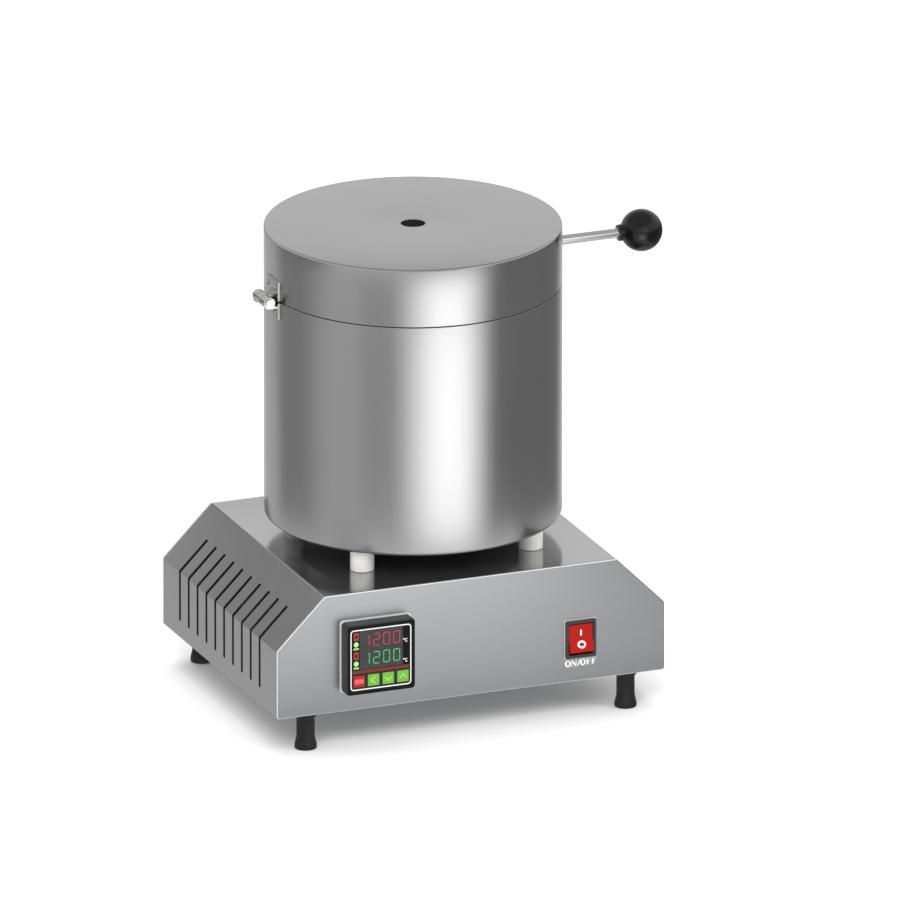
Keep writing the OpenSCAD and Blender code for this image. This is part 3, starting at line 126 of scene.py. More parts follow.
def new_object(name: str, data: ID) -> Object:
    """Adds an object to the scene, at the origin."""
    thing = bpy.data.objects.new(name, data)
    bpy.context.scene.collection.objects.link(thing)
    return thing


def corner_arc(a: Point, b: Point, c: Point, radius: float, steps: int) -> list[Point]:
    """Rounds the corner b of an outline.

    Args:
        a: Point before the corner.
        b: The corner.
        c: Point after it.
        radius: Radius of the rounding.
        steps: Segments of the arc.

    Returns:
        The points of the arc, from the side of a to the side of c.
    """
    pa, pb, pc = Vector(a), Vector(b), Vector(c)
    u, v = (pa - pb).normalized(), (pc - pb).normalized()
    half = acos(max(-1.0, min(1.0, u.dot(v)))) / 2
    mid = pb + (u + v).normalized() * (radius / sin(half))
    start = pb + u * (radius / tan(half)) - mid
    stop = pb + v * (radius / tan(half)) - mid
    first = atan2(start.y, start.x)
    sweep = (atan2(stop.y, stop.x) - first + 3 * pi) % TURN - pi
    return [(mid.x + radius * cos(first + sweep * i / steps),
             mid.y + radius * sin(first + sweep * i / steps)) for i in range(steps + 1)]


def rounded(outline: Sequence[Triple], steps: int = 6) -> list[Point]:
    """Rounds every corner of a closed outline by its own radius.

    Args:
        outline: Corners as x, y and radius, where a radius of zero keeps a sharp corner.
        steps: Segments of each arc.

    Returns:
        The points of the rounded outline.
    """
    points: list[Point] = []
    for i, (x, y, radius) in enumerate(outline):
        before, after = outline[i - 1], outline[(i + 1) % len(outline)]
        if radius > 0:
            points += corner_arc(before[:2], (x, y), after[:2], radius, steps)
        else:
            points.append((x, y))
    return points


def round_rect(width: float, height: float, radius: float) -> list[Point]:
    """Returns the outline of a rectangle with rounded corners, centred on zero."""
    w, h = width / 2, height / 2
    return rounded([(-w, -h, radius), (w, -h, radius), (w, h, radius), (-w, h, radius)])


def ellipse(width: float, height: float, steps: int = 40) -> list[Point]:
    """Returns the outline of an ellipse, centred on zero."""
    return [(width / 2 * cos(TURN * i / steps), height / 2 * sin(TURN * i / steps))
            for i in range(steps)]


def four(x: float, y: float, z: float) -> list[Triple]:
    """Returns the four places that mirror one place across the middle."""
    return [(sx * x, sy * y, z) for sx in (-1, 1) for sy in (-1, 1)]


def shift(x: float, y: float, z: float) -> Place:
    """Returns a place that moves a point without turning it."""
    return lambda p: Vector((p.x + x, p.y + y, p.z + z))


def on_front(x: float, y: float, z: float) -> Place:
    """Returns a place on a front face: local X runs right, local Y up and local Z out to the front."""
    return lambda p: Vector((x + p.x, y - p.z, z + p.y))


def along_x(x: float, y: float, z: float) -> Place:
    """Returns a place whose local Z runs along +X."""
    return lambda p: Vector((x + p.z, y + p.x, z + p.y))


# Finishes

# Nearly all of a noise lies between these values
NOISE_LOW, NOISE_HIGH = 0.3, 0.7
# Shares of a finish's fine pattern and of its slow change of tone
FINE_SHARE, SLOW_SHARE = 0.6, 0.4


@dataclass(frozen=True)
class Finish:
    """A real material and the way its surface was made.

    Attributes:
        name: Name of the material.
        color: Main colour, as sRGB hex.
        roughness: Mean roughness.
        grain: Size of the surface pattern in millimetres.
        shade: How much lighter or darker the pattern makes the colour, as a share.
        spread: How much the pattern changes the roughness.
        blotch: Size in millimetres of the slow change of tone across the surface.
        depth: Height of the pattern's relief in millimetres.
        lay: Direction of the pattern.
        metallic: One for bare metal.
        coat: Strength of a clear gloss coat.
        glow: Strength of light given off.
        shine: Specular level of a plastic or ink, where a half is usual.
    """

    name: str
    color: str
    roughness: float
    grain: float
    shade: float
    spread: float
    blotch: float
    depth: float = 0.0
    lay: Lay = Lay.EVEN
    metallic: float = 0.0
    coat: float = 0.0
    glow: float = 0.0
    shine: float = 0.5

    def pattern(self, tree: NodeTree, size: float, lay: Lay, detail: float) -> NodeSocket:
        """Adds noise whose features have a real size.

        Args:
            tree: The material's node tree.
            size: Feature size in millimetres.
            lay: Stretch of the pattern.
            detail: Octaves of the noise.

        Returns:
            The noise value, from zero to one.
        """
        place = add_node(tree, "ShaderNodeTexCoord")
        mapping = add_node(tree, "ShaderNodeMapping", {
            "Vector": place.outputs["Object"], "Scale": [axis / (size * MM) for axis in lay.value]})
        noise = add_node(tree, "ShaderNodeTexNoise", {
            "Vector": mapping.outputs["Vector"], "Scale": 1.0, "Detail": detail, "Roughness": 0.55})
        return noise.outputs["Fac"]

    def build(self) -> Material:
        """Builds the material once and returns it."""
        if self.name in bpy.data.materials:
            return bpy.data.materials[self.name]
        made = new_material(self.name)
        tree = made.node_tree
        fine = self.pattern(tree, self.grain, self.lay, 3.0)
        slow = self.pattern(tree, self.blotch, Lay.EVEN, 1.0)
        both = add_node(tree, "ShaderNodeMath", {0: fine, 1: FINE_SHARE, 2: 0.0}, operation="MULTIPLY_ADD")
        mixed = add_node(tree, "ShaderNodeMath", {0: slow, 1: SLOW_SHARE, 2: both.outputs[0]},
                         operation="MULTIPLY_ADD").outputs[0]
        base = linear(self.color)
        ramp = add_node(tree, "ShaderNodeValToRGB", {"Fac": mixed})
        low, high = ramp.color_ramp.elements
        low.position, high.position = NOISE_LOW, NOISE_HIGH
        low.color = [c * (1 - self.shade) for c in base[:3]] + [1.0]
        high.color = [min(1.0, c * (1 + self.shade)) for c in base[:3]] + [1.0]
        rough = add_node(tree, "ShaderNodeMapRange", {
            "Value": mixed, "From Min": NOISE_LOW, "From Max": NOISE_HIGH,
            "To Min": max(0.02, self.roughness - self.spread),
            "To Max": min(1.0, self.roughness + self.spread)})
        inputs = {"Base Color": ramp.outputs["Color"], "Roughness": rough.outputs["Result"],
                  "Metallic": self.metallic, "Coat Weight": self.coat, "Coat Roughness": 0.06,
                  "Specular IOR Level": self.shine}
        if self.depth > 0:
            bump = add_node(tree, "ShaderNodeBump", {
                "Strength": 1.0, "Distance": self.depth * MM, "Height": fine})
            inputs["Normal"] = bump.outputs["Normal"]
        if self.glow > 0:
            inputs |= {"Emission Color": base, "Emission Strength": self.glow}
        shader = add_node(tree, "ShaderNodeBsdfPrincipled", inputs)
        add_node(tree, "ShaderNodeOutputMaterial", {"Surface": shader.outputs["BSDF"]})
        return made


@dataclass(frozen=True)
class Metal(Finish):
    """A bare metal."""

    metallic: float = 1.0


@dataclass(frozen=True)
class Ink(Finish):
    """Screen ink: flat, opaque, slightly matt."""

    roughness: float = 0.45
    grain: float = 0.4
    shade: float = 0.05
    spread: float = 0.04
    blotch: float = 8.0


# The numbers below are roughness, grain, shade, spread, blotch and depth, in the order of the fields.
# Stainless sheet, ground with a fine belt along its width: soft streaks and a broad dull shine.
BRUSHED_PANEL = Metal("stainless_belt_brushed", "#b4b5b7", 0.36, 1.1, 0.05, 0.05, 90, 0.004, Lay.ALONG_X)
# The same sheet where a laser has cut it: dark oxide, fine furrows, hardly any shine. The same dark colour
# on the front panel's right-hand rounded edge is painted shade.
LASER_CUT_AND_SHADE_EDGE = Finish("stainless_laser_cut_and_painted_shade", "#1a1817", 0.6, 0.5, 0.2, 0.1, 6, 0.01)
# The same sheet's rounded edge, pale near-white: painted highlight for the bright line of light along the
# panel.
PAINTED_HIGHLIGHT_EDGE = Finish("stainless_edge_painted_highlight", "#eeeeee", 0.45, 0.9, 0.02, 0.04, 20, metallic=0.3)
# Stainless sheet, mirror polished by the mill and folded: clear reflections with faint clouds.
MIRROR_COVER = Metal("stainless_mirror_polished", "#aeaeaf", 0.14, 6.0, 0.015, 0.03, 70, metallic=0.94)
# Stainless, buffed on the cover's slopes and sides alone: an even satin sheen without mirror images.
SATIN_FLANK = Metal("stainless_satin_buffed", "#bebebf", 0.34, 6.0, 0.02, 0.03, 70, 0.004)
# Stainless sheet, buffed round the drum: a soft satin shine with tight vertical bands.
BUFFED_DRUM = Metal("stainless_buffed", "#c4c4c5", 0.2, 1.4, 0.015, 0.03, 80, 0.0015, Lay.ALONG_Z)
# Stainless disc, spun and blasted: an even pale satin.
BLASTED_TOP = Metal("stainless_bead_blasted", "#b9b9ba", 0.34, 0.8, 0.02, 0.03, 70, 0.002)
# Mild steel sheet, dull and faintly rough, in black: painted shade, so that the polished cover mirrors the
# drum's underside dark.
UNDERSIDE_SHADE_BLACK = Finish("steel_black_painted_shade", "#282828", 0.6, 0.8, 0.15, 0.08, 25, 0.01, shine=0.3)
# Mild steel sheet, zinc plated and passivated: cool grey with a faint bloom.
ZINC_SHEET = Metal("steel_zinc_plated", "#a2a4a6", 0.38, 9.0, 0.08, 0.08, 30)
# Steel, turned and bright nickel plated: hard clear highlights.
NICKEL = Metal("steel_nickel_plated", "#c8c7c5", 0.16, 0.6, 0.03, 0.05, 12, 0.001)
# Steel rod, turned and chrome plated: the brightest metal of all, with crisp bands.
CHROME = Metal("steel_chrome_plated", "#ececed", 0.12, 0.9, 0.01, 0.02, 15)
# Brass, drawn and tin flashed where wires land: warm dull shine.
BRASS = Metal("brass_drawn", "#b8974e", 0.34, 1.2, 0.08, 0.08, 8, 0.002)
# Iron chromium aluminium wire, oxidised by its first firing: dull brown grey.
FIRED_WIRE = Metal("resistance_wire_oxidised", "#6e625a", 0.55, 0.9, 0.18, 0.1, 9, 0.02)
# Aluminium alloy, extruded and left bare: pale with drawn lines along the fins.
EXTRUDED = Metal("aluminium_extruded", "#b3b5b8", 0.4, 0.9, 0.06, 0.08, 20, 0.006, Lay.ALONG_Y)
# Nitrile rubber, compression moulded: matt black with a slight bloom.
RUBBER = Finish("nitrile_rubber_moulded", "#151516", 0.62, 0.7, 0.2, 0.1, 9, 0.01)
# Silicone rubber, die cut from sheet: pale and slightly glossy.
SILICONE = Finish("silicone_sheet_die_cut", "#d2d2ce", 0.45, 0.8, 0.03, 0.05, 14, 0.004)
# Phenolic resin, moulded and buffed: deep black gloss.
PHENOLIC = Finish("phenolic_moulded_buffed", "#060606", 0.2, 3.0, 0.2, 0.03, 9, coat=0.1)
# ABS, moulded in a spark eroded tool: charcoal with a fine matt texture.
ABS_CHARCOAL = Finish("abs_charcoal_textured", "#2d2e30", 0.42, 0.5, 0.06, 0.06, 16, 0.006)
# ABS, moulded in a polished tool: near black with a soft shine.
ABS_BLACK = Finish("abs_black_polished", "#0e0f10", 0.3, 0.6, 0.15, 0.05, 14, 0.003)
# Polyamide, moulded: black, slightly waxy.
NYLON = Finish("polyamide_black_moulded", "#17181a", 0.45, 0.8, 0.12, 0.06, 10, 0.006)
# Polycarbonate, moulded around a lamp: clear saturated red with gloss.
ROCKER_RED = Finish("polycarbonate_red_moulded", "#a01102", 0.22, 1.2, 0.06, 0.04, 7, shine=0.2)
# Polyester film, printed from behind over a dome: smooth, a little glossy.
KEY_RED = Finish("polyester_film_red", "#961216", 0.36, 0.6, 0.06, 0.05, 5, 0.003)
KEY_GREEN = Finish("polyester_film_green", "#64a82f", 0.38, 0.6, 0.06, 0.05, 5, 0.003)
# Acrylic sheet, smoked in the mass and cut: dark, flat and glossy.
SMOKED = Finish("acrylic_smoked_cut", "#2b2c2b", 0.16, 0.7, 0.12, 0.04, 12, coat=0.3)
# Screen ink in the colours of a controller's face: even tones without any shine of their own.
INK_WHITE = Ink("screen_ink_white", "#f4f4f2", shade=0.02)
INK_BLACK = Ink("screen_ink_black", "#0a0a0b", 0.5, shade=0.1, shine=0.15)
INK_MAROON = Ink("screen_ink_maroon", "#6d1512")
INK_RED = Ink("screen_ink_red", "#8c1a16")
INK_PINK = Ink("screen_ink_pink", "#d2544e", shade=0.04)
INK_LIME = Ink("screen_ink_lime", "#8fc95a", shade=0.04)
# Light emitting diodes behind diffusing epoxy: even colour that gives off its own light.
LED_RED = Finish("led_red_lit", "#a01c3c", 0.4, 0.4, 0.05, 0.04, 3, glow=0.45)
LED_GREEN = Finish("led_green_lit", "#2f9c5c", 0.4, 0.4, 0.05, 0.04, 3, glow=0.5)
LAMP_GREEN = Finish("led_lamp_green_lit", "#8ccf70", 0.35, 0.4, 0.05, 0.04, 3, glow=0.5)
# Steatite ceramic, pressed and glazed: white with a wet shine.
STEATITE = Finish("steatite_glazed", "#f7f6f3", 0.16, 2.5, 0.02, 0.04, 9, 0.004, coat=0.4)
# Mullite ceramic, cast and fired: warm white, dry, with fine pits.
MULLITE = Finish("mullite_fired", "#d9cdb8", 0.82, 1.3, 0.1, 0.08, 22, 0.06)
# Ceramic fibre, felted into board: white, soft, with a tangled surface.
FIBRE_BOARD = Finish("ceramic_fibre_board", "#e9e5dc", 0.95, 1.6, 0.09, 0.04, 25, 0.22)
# Graphite, isostatically pressed and turned: dark grey with a pencil sheen.
GRAPHITE = Finish("graphite_turned", "#2d2e30", 0.5, 0.8, 0.16, 0.1, 14, 0.02, metallic=0.15)
# Glass fibre laminate under solder mask: deep green, glossy, with a faint weave.
LAMINATE = Finish("fr4_solder_mask", "#0f4a24", 0.35, 0.9, 0.12, 0.06, 11, 0.006, coat=0.2)
# Polyamide, moulded in cream for terminals and relays: matt, slightly warm.
CREAM = Finish("polyamide_cream_moulded", "#dcd5bd", 0.5, 0.8, 0.04, 0.06, 18, 0.006)
# Silicone rubber over stranded copper, extruded: brick red, satin.
LEAD_SHEATH = Finish("silicone_lead_extruded", "#7b2a1c", 0.48, 1.0, 0.08, 0.06, 14, 0.006)

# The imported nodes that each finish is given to
FINISHED_NODES = {
    BRUSHED_PANEL: "front_panel rear_panel", MIRROR_COVER: "base_cover",
    BUFFED_DRUM: "drum_shell lid_shell", BLASTED_TOP: "drum_top_ring lid_liner_ring",
    # Painted shade: the drum floor is black so that the polished cover mirrors a dark underside
    UNDERSIDE_SHADE_BLACK: "drum_floor", CHROME: "lever_rod", PHENOLIC: "lever_knob",
    ZINC_SHEET: "bottom_tray foot_studs standoff_bolts flange_nuts lever_nut",
    NICKEL: "tray_screws hinge_drum_rivets hinge_lid_rivets hinge_drum_leaf hinge_lid_leaf hinge_pin "
            "temperature_probe",
    RUBBER: "feet gland_seal", SILICONE: "controller_gasket", STEATITE: "standoffs lead_bushings",
    GRAPHITE: "lid_sleeve crucible", MULLITE: "heating_tube chamber_collar crucible_stand",
    FIBRE_BOARD: "insulation_blanket floor_insulation lid_insulation",
    FIRED_WIRE: "heating_coil coil_terminals", NYLON: "controller_clamp gland_body gland_locknut gland_cap",
    ABS_BLACK: "controller_face controller_housing controller_terminals",
    ABS_CHARCOAL: "controller_bezel switch_housing", SMOKED: "display_window digit_display",
    KEY_RED: "set_key", KEY_GREEN: "shift_key down_key up_key", ROCKER_RED: "switch_rocker",
    LAMINATE: "controller_board", BRASS: "switch_blades terminal_screws", EXTRUDED: "relay_heatsink",
    CREAM: "solid_state_relay terminal_block", LEAD_SHEATH: "internal_wiring",
}
CAD_FINISHES = {node: finish for finish, nodes in FINISHED_NODES.items() for node in nodes.split()}


# Making meshes

# Local heights of the back and the front of a printed film, and of the thicker ink on the switch
PRINT_LOW, PRINT_HIGH, SIGN_HIGH = -0.02, 0.06, 0.08
# Angles in degrees under which the edges of turned and of flat pieces are shaded smooth
TURNED_SMOOTH, FLAT_SMOOTH = 35.0, 20.0
# A corner of a turned outline nearer to the axis than this, in millimetres, lies on it
ON_AXIS = 1e-6
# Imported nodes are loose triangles: points this near in metres are one, faces this level in degrees too
MERGE_REACH, MERGE_ANGLE = 2e-6, 1.0
# Cosine of the least angle between faces that counts as a bend
LEVEL = 0.999995


@contextmanager
def edited(mesh: Mesh) -> Iterator[BMesh]:
    """Opens a mesh for editing and writes it back afterwards.

    Args:
        mesh: Mesh to edit.

    Yields:
        Its editable shape.
    """
    shape = bmesh.new()
    shape.from_mesh(mesh)
    yield shape
    shape.to_mesh(mesh)
    shape.free()


def band(low: int, high: int, count: int) -> list[list[int]]:
    """Returns the faces between two closed rows of points, whose numbers start at low and at high."""
    return [[low + i, low + (i + 1) % count, high + (i + 1) % count, high + i] for i in range(count)]


def solid(points: Sequence[Vector], faces: Sequence[Sequence[int]]) -> Mesh:
    """Builds a closed mesh and turns its faces outwards.

    Args:
        points: Corner points in millimetres.
        faces: Corner numbers of each face.

    Returns:
        The mesh, in metres.
    """
    mesh = bpy.data.meshes.new("solid")
    mesh.from_pydata([tuple(p * MM) for p in points], [], [tuple(f) for f in faces])
    with edited(mesh) as shape:
        bmesh.ops.recalc_face_normals(shape, faces=shape.faces)
    return mesh


def lathe(profile: Outline, place: Place, steps: int) -> Mesh:
    """Turns a closed profile about the local Z axis.

    Args:
        profile: Radius and height of each corner of a closed outline.
        place: Takes a local point to its place.
        steps: Steps of the full turn.

    Returns:
        The closed mesh.
    """
    points: list[Vector] = []
    rings: list[list[int]] = []
    for radius, height in profile:
        on_axis = radius < ON_AXIS
        start = len(points)
        rings.append([start] * steps if on_axis else list(range(start, start + steps)))
        around = [(0.0, 0.0)] if on_axis else ellipse(2 * radius, 2 * radius, steps)
        points += [place(Vector((x, y, height))) for x, y in around]
    faces = []
    for ring, after in zip(rings, rings[1:] + rings[:1]):
        if ring[0] == ring[1] and after[0] == after[1]:
            continue
        for j in range(steps):
            k = (j + 1) % steps
            faces.append(list(dict.fromkeys([ring[j], ring[k], after[k], after[j]])))
    return solid(points, faces)


def slab(outline: Outline, low: float, high: float, place: Place,
         hole: Outline | None = None) -> Mesh:
    """Raises an outline into a flat plate.

    Args:
        outline: Outer outline.
        low: Local height of its back.
        high: Local height of its front.
        place: Takes a local point to its place.
        hole: Inner outline, with the same number of points as the outer one.

    Returns:
        The closed mesh.
    """
    count = len(outline)
    points = [place(Vector((x, y, h))) for edge in (outline, hole or ()) for h in (low, high)
              for x, y in edge]
    faces = band(0, count, count)
    if hole is None:
        faces += [list(range(count))[::-1], list(range(count, 2 * count))]
    else:
        inner_low, inner_high = 2 * count, 3 * count
        for start, stop in ((inner_high, inner_low), (inner_low, 0), (count, inner_high)):
            faces += band(start, stop, count)
    return solid(points, faces)


def stroke(a: Point, b: Point, wide: float, high: float, place: Place, pointed: bool = False) -> Mesh:
    """Makes one straight printed stroke.

    Args:
        a: Its start.
        b: Its end.
        wide: Its width in millimetres.
        high: Its thickness in millimetres.
        place: Takes a local point to its place.
        pointed: Whether its ends are pointed and a little short, as a digit's are.

    Returns:
        The closed mesh.
    """
    start, end = Vector(a), Vector(b)
    along = (end - start).normalized()
    side = Vector((-along.y, along.x)) * wide / 2
    outline = [start - side, end - side, end + side, start + side]
    if pointed:
        start += along * wide * 0.25
        end -= along * wide * 0.25
        tip = along * wide * 0.5
        outline = [start, start + tip - side, end - tip - side, end, end - tip + side, start + tip + side]
    return slab([tuple(p) for p in outline], PRINT_LOW, high, place)


def join(meshes: Sequence[Mesh]) -> Mesh:
    """Joins meshes into one.

    Args:
        meshes: The meshes, which are used up.

    Returns:
        The joined mesh.
    """
    joined = bpy.data.meshes.new("joined")
    with edited(joined) as shape:
        for mesh in meshes:
            shape.from_mesh(mesh)
            bpy.data.meshes.remove(mesh)
    return joined


def applied(mesh: Mesh, setup: Callable[[Object], None]) -> Mesh:
    """Applies modifiers to a mesh.

    Args:
        mesh: Mesh to work on.
        setup: Adds the modifiers to a helper object.

    Returns:
        The finished plain mesh.
    """
    helper = new_object("helper", mesh)
    setup(helper)
    bpy.context.view_layer.update()
    graph = bpy.context.evaluated_depsgraph_get()
    result = bpy.data.meshes.new_from_object(helper.evaluated_get(graph))
    helper.modifiers.clear()
    bpy.data.objects.remove(helper)
    return result


def flats(shape: BMesh) -> list[list[BMFace]]:
    """Sorts the faces of a shape into flats.

    Args:
        shape: Shape to look at.

    Returns:
        The faces of each flat, all of one material.
    """
    groups, seen = [], set()
    for first in shape.faces:
        if first in seen:
            continue
        seen.add(first)
        group, waiting = [], [first]
        while waiting:
            here = waiting.pop()
            group.append(here)
            for other in (face for edge in here.edges for face in edge.link_faces):
                level = other.normal.dot(first.normal) > LEVEL
                if level and other not in seen and other.material_index == first.material_index:
                    seen.add(other)
                    waiting.append(other)
        groups.append(group)
    return groups


def refill_flats(shape: BMesh) -> None:
    """Fills every flat of several faces anew from its border, so that no face folds over another.

    Args:
        shape: Shape to change.
    """
    for group in flats(shape):
        if len(group) < 2:
            continue
        members = set(group)
        largest = max(group, key=lambda face: face.calc_area())
        normal, kind = largest.normal.copy(), largest.material_index
        edges = {edge for face in group for edge in face.edges}
        inner = [edge for edge in edges if all(face in members for face in edge.link_faces)]
        border = list(edges.difference(inner))
        bmesh.ops.delete(shape, geom=group, context="FACES_ONLY")
        bmesh.ops.delete(shape, geom=inner, context="EDGES")
        filled = bmesh.ops.triangle_fill(shape, edges=border, use_beauty=True, normal=normal)
        for face in (item for item in filled["geom"] if isinstance(item, BMFace)):
            face.material_index = kind
            if face.normal.dot(normal) < 0:
                face.normal_flip()


def level_shading(mesh: Mesh, angle: float) -> None:
    """Sets corner normals that lean to the broadest face, so that flats stay flat.

    Args:
        mesh: Mesh to shade.
        angle: Angle in degrees between faces that share no shading.
    """
    limit = cos(radians(angle))
    with edited(mesh) as shape:
        weight = {face.index: (sum(part.calc_area() for part in group) / MM ** 2) ** 2
                  for group in flats(shape) for face in group}
    around: list[list[int]] = [[] for _ in mesh.vertices]
    facing = [face.normal.copy() for face in mesh.polygons]
    for face in mesh.polygons:
        face.use_smooth = True
        for corner in face.vertices:
            around[corner].append(face.index)
    normals = []
    for face in mesh.polygons:
        own = facing[face.index]
        for corner in face.vertices:
            near = [k for k in around[corner] if facing[k].dot(own) > limit]
            total = sum((facing[k] * weight[k] for k in near), Vector())
            normals.append(tuple(total.normalized() if total.length > 0 else own))
    mesh.normals_split_custom_set(normals)


def bevelled(mesh: Mesh, width: float, segments: int, angle: float, rim: int) -> Mesh:
    """Rounds the sharp edges of a mesh and keeps its flats flat in the shading.

    Args:
        mesh: Mesh to round.
        width: Width of the rounding in millimetres.
        segments: Steps across the rounding.
        angle: Least angle in degrees of an edge that is rounded.
        rim: Number of the material that the rounding takes, or -1 for that of its faces.

    Returns:
        The rounded mesh.
    """
    def setup(helper: Object) -> None:
        """Adds the bevel."""
        bevel = helper.modifiers.new("edge", "BEVEL")
        bevel.width = width * MM
        bevel.segments = segments
        bevel.limit_method = "ANGLE"
        bevel.angle_limit = radians(angle)
        bevel.use_clamp_overlap = False
        bevel.miter_outer = "MITER_ARC"
        bevel.material = rim
    result = applied(mesh, setup)
    with edited(result) as shape:
        refill_flats(shape)
    level_shading(result, angle)
    return result


# Making pieces


@dataclass
class Assembly:
    """A sub-assembly of the furnace, with the ways in which its pieces are made and put on their bodies."""

    def keep(self, name: str, mesh: Mesh, slot: str, finish: Finish, body: Body = Body.BASE,
             stands_for: Sequence[str] = (), smooth: float | None = TURNED_SMOOTH) -> Object:
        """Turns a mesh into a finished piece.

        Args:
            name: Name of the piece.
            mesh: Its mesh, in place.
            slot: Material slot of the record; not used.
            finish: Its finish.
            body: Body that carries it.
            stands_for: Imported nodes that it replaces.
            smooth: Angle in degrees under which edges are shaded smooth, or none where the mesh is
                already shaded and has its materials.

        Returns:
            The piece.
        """
        if smooth is not None:
            with edited(mesh) as shape:
                for face in shape.faces:
                    face.smooth = True
                for edge in shape.edges:
                    bend = edge.calc_face_angle(0.0)
                    edge.smooth = len(edge.link_faces) == 2 and bend < radians(smooth)
            mesh.materials.clear()
            mesh.materials.append(finish.build())
        mesh.name = name
        piece = new_object(name, mesh)
        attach(piece, body.value)
        if stands_for:
            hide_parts(*stands_for)
        LOG.info("%s: %d faces on %s", name, len(mesh.polygons), body.value)
        return piece

    def printed(self, name: str, outline: Outline, place: Place, slot: str, finish: Finish,
                hole: Outline | None = None, body: Body = Body.BASE,
                low: float = PRINT_LOW, high: float = PRINT_HIGH) -> None:
        """Lays a thin flat shape on a surface.

        Args:
            name: Name of the piece.
            outline: Its outline.
            place: Takes a local point to its place.
            slot: Material slot of the record.
            finish: Its finish.
            hole: Outline of its opening, with as many points.
            body: Body that carries it.
            low: Local height of its back.
            high: Local height of its front.
        """
        self.keep(name, slab(outline, low, high, place, hole), slot, finish, body, smooth=FLAT_SMOOTH)

    def softened(self, node: str, width: float, slot: str, body: Body = Body.BASE, segments: int = 3,
                 angle: float = 40.0, rim: Finish | None = None,
                 special: Sequence[tuple[Finish, Picker]] = ()) -> Object:
        """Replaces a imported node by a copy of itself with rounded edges.

        Args:
            node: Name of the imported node.
            width: Width of the rounding in millimetres.
            slot: Material slot of the record.
            body: Body that carries the node.
            segments: Steps across the rounding.
            angle: Least angle in degrees of an edge that is rounded.
            rim: Finish of the rounding, where it isn't that of the faces.
            special: Finishes of some faces, and what picks each by middle (in millimetres) and normal.

        Returns:
            The new piece.
        """
        finish = CAD_FINISHES[node]
        rims = [rim] if rim else []
        mesh = NODES[node].data.copy()
        mesh.materials.clear()
        for each in (finish, *rims, *(pair[0] for pair in special)):
            mesh.materials.append(each.build())
        with edited(mesh) as shape:
            bmesh.ops.remove_doubles(shape, verts=shape.verts, dist=MERGE_REACH)
            bmesh.ops.dissolve_limit(shape, angle_limit=radians(MERGE_ANGLE), verts=shape.verts,
                                     edges=shape.edges)
            for face in shape.faces:
                face.material_index = 0
                for i, (_, picks) in enumerate(special, 1 + len(rims)):
                    if picks(face.calc_center_median() / MM, face.normal):
                        face.material_index = i
        mesh = bevelled(mesh, width, segments, angle, 1 if rim else -1)
        return self.keep(node + "_finished", mesh, slot, finish, body, [node], None)


# Geometry Nodes


@dataclass
class NodeRecipe:
    """A Geometry Nodes tree with named inputs, run once and kept as a plain mesh.

    Attributes:
        name: Name of the tree.
        finish: Finish of what it makes.
        sizes: Value of each named input, lengths in metres.
    """

    name: str
    finish: Finish
    sizes: dict[str, float]

    def shape(self, tree: NodeTree, given: Sockets) -> NodeSocket:
        """Adds the nodes that make the whole shape from the given inputs."""
        raise NotImplementedError

    def mesh(self, points: Sequence[Vector]) -> Mesh:
        """Builds the tree and runs it.

        Args:
            points: Points in millimetres that the tree starts from.

        Returns:
            The plain mesh.
        """
        tree = bpy.data.node_groups.new(self.name, "GeometryNodeTree")
        for way in ("INPUT", "OUTPUT"):
            tree.interface.new_socket("Geometry", in_out=way, socket_type="NodeSocketGeometry")
        for label in self.sizes:
            tree.interface.new_socket(label, in_out="INPUT", socket_type="NodeSocketFloat")
        given = add_node(tree, "NodeGroupInput").outputs
        real = add_node(tree, "GeometryNodeRealizeInstances", {0: self.shape(tree, given)})
        dressed = add_node(tree, "GeometryNodeSetMaterial", {
            "Geometry": real.outputs[0], "Material": self.finish.build()})
        add_node(tree, "NodeGroupOutput", {0: dressed.outputs[0]})
        start = bpy.data.meshes.new(self.name + "_points")
        start.from_pydata([tuple(p * MM) for p in points], [], [])

        def setup(helper: Object) -> None:
            """Adds the tree and sets its inputs by their identifiers."""
            step = helper.modifiers.new(self.name, "NODES")
            step.node_group = tree
            for item in tree.interface.items_tree:
                if item.in_out == "INPUT" and item.name in self.sizes:
                    step[item.identifier] = float(self.sizes[item.name])
        return applied(start, setup)


@dataclass
class WoundWire(NodeRecipe):
    """Wire wound into a helix about the vertical."""

    def shape(self, tree: NodeTree, given: Sockets) -> NodeSocket:
        """Winds a spiral, lifts it and gives it the wire's round section."""
        radius = given["Winding Radius"]
        spiral = add_node(tree, "GeometryNodeCurveSpiral", {
            "Resolution": 48, "Rotations": given["Turns"], "Start Radius": radius,
            "End Radius": radius, "Height": given["Height"]})
        lift = add_node(tree, "ShaderNodeCombineXYZ", {"Z": given["Lower End"]})
        placed = add_node(tree, "GeometryNodeTransform", {
            "Geometry": spiral.outputs[0], "Translation": lift.outputs[0],
            "Rotation": (0.0, 0.0, QUARTER)})
        ring = add_node(tree, "GeometryNodeCurvePrimitiveCircle", {
            "Resolution": 12, "Radius": given["Wire Radius"]})
        return add_node(tree, "GeometryNodeCurveToMesh", {
            "Curve": placed.outputs[0], "Profile Curve": ring.outputs[0], "Fill Caps": True}).outputs[0]


@dataclass
class OnPoints(NodeRecipe):
    """A recipe that sets the same shape on every point, turned from +Z by a given rotation."""

    turn: Triple

    def single(self, tree: NodeTree, given: Sockets) -> NodeSocket:
        """Adds the nodes that make one of the shapes."""
        raise NotImplementedError

    def shape(self, tree: NodeTree, given: Sockets) -> NodeSocket:
        """Sets the shape on the points."""
        return add_node(tree, "GeometryNodeInstanceOnPoints", {
            "Points": given["Geometry"], "Instance": self.single(tree, given),
            "Rotation": self.turn}).outputs[0]


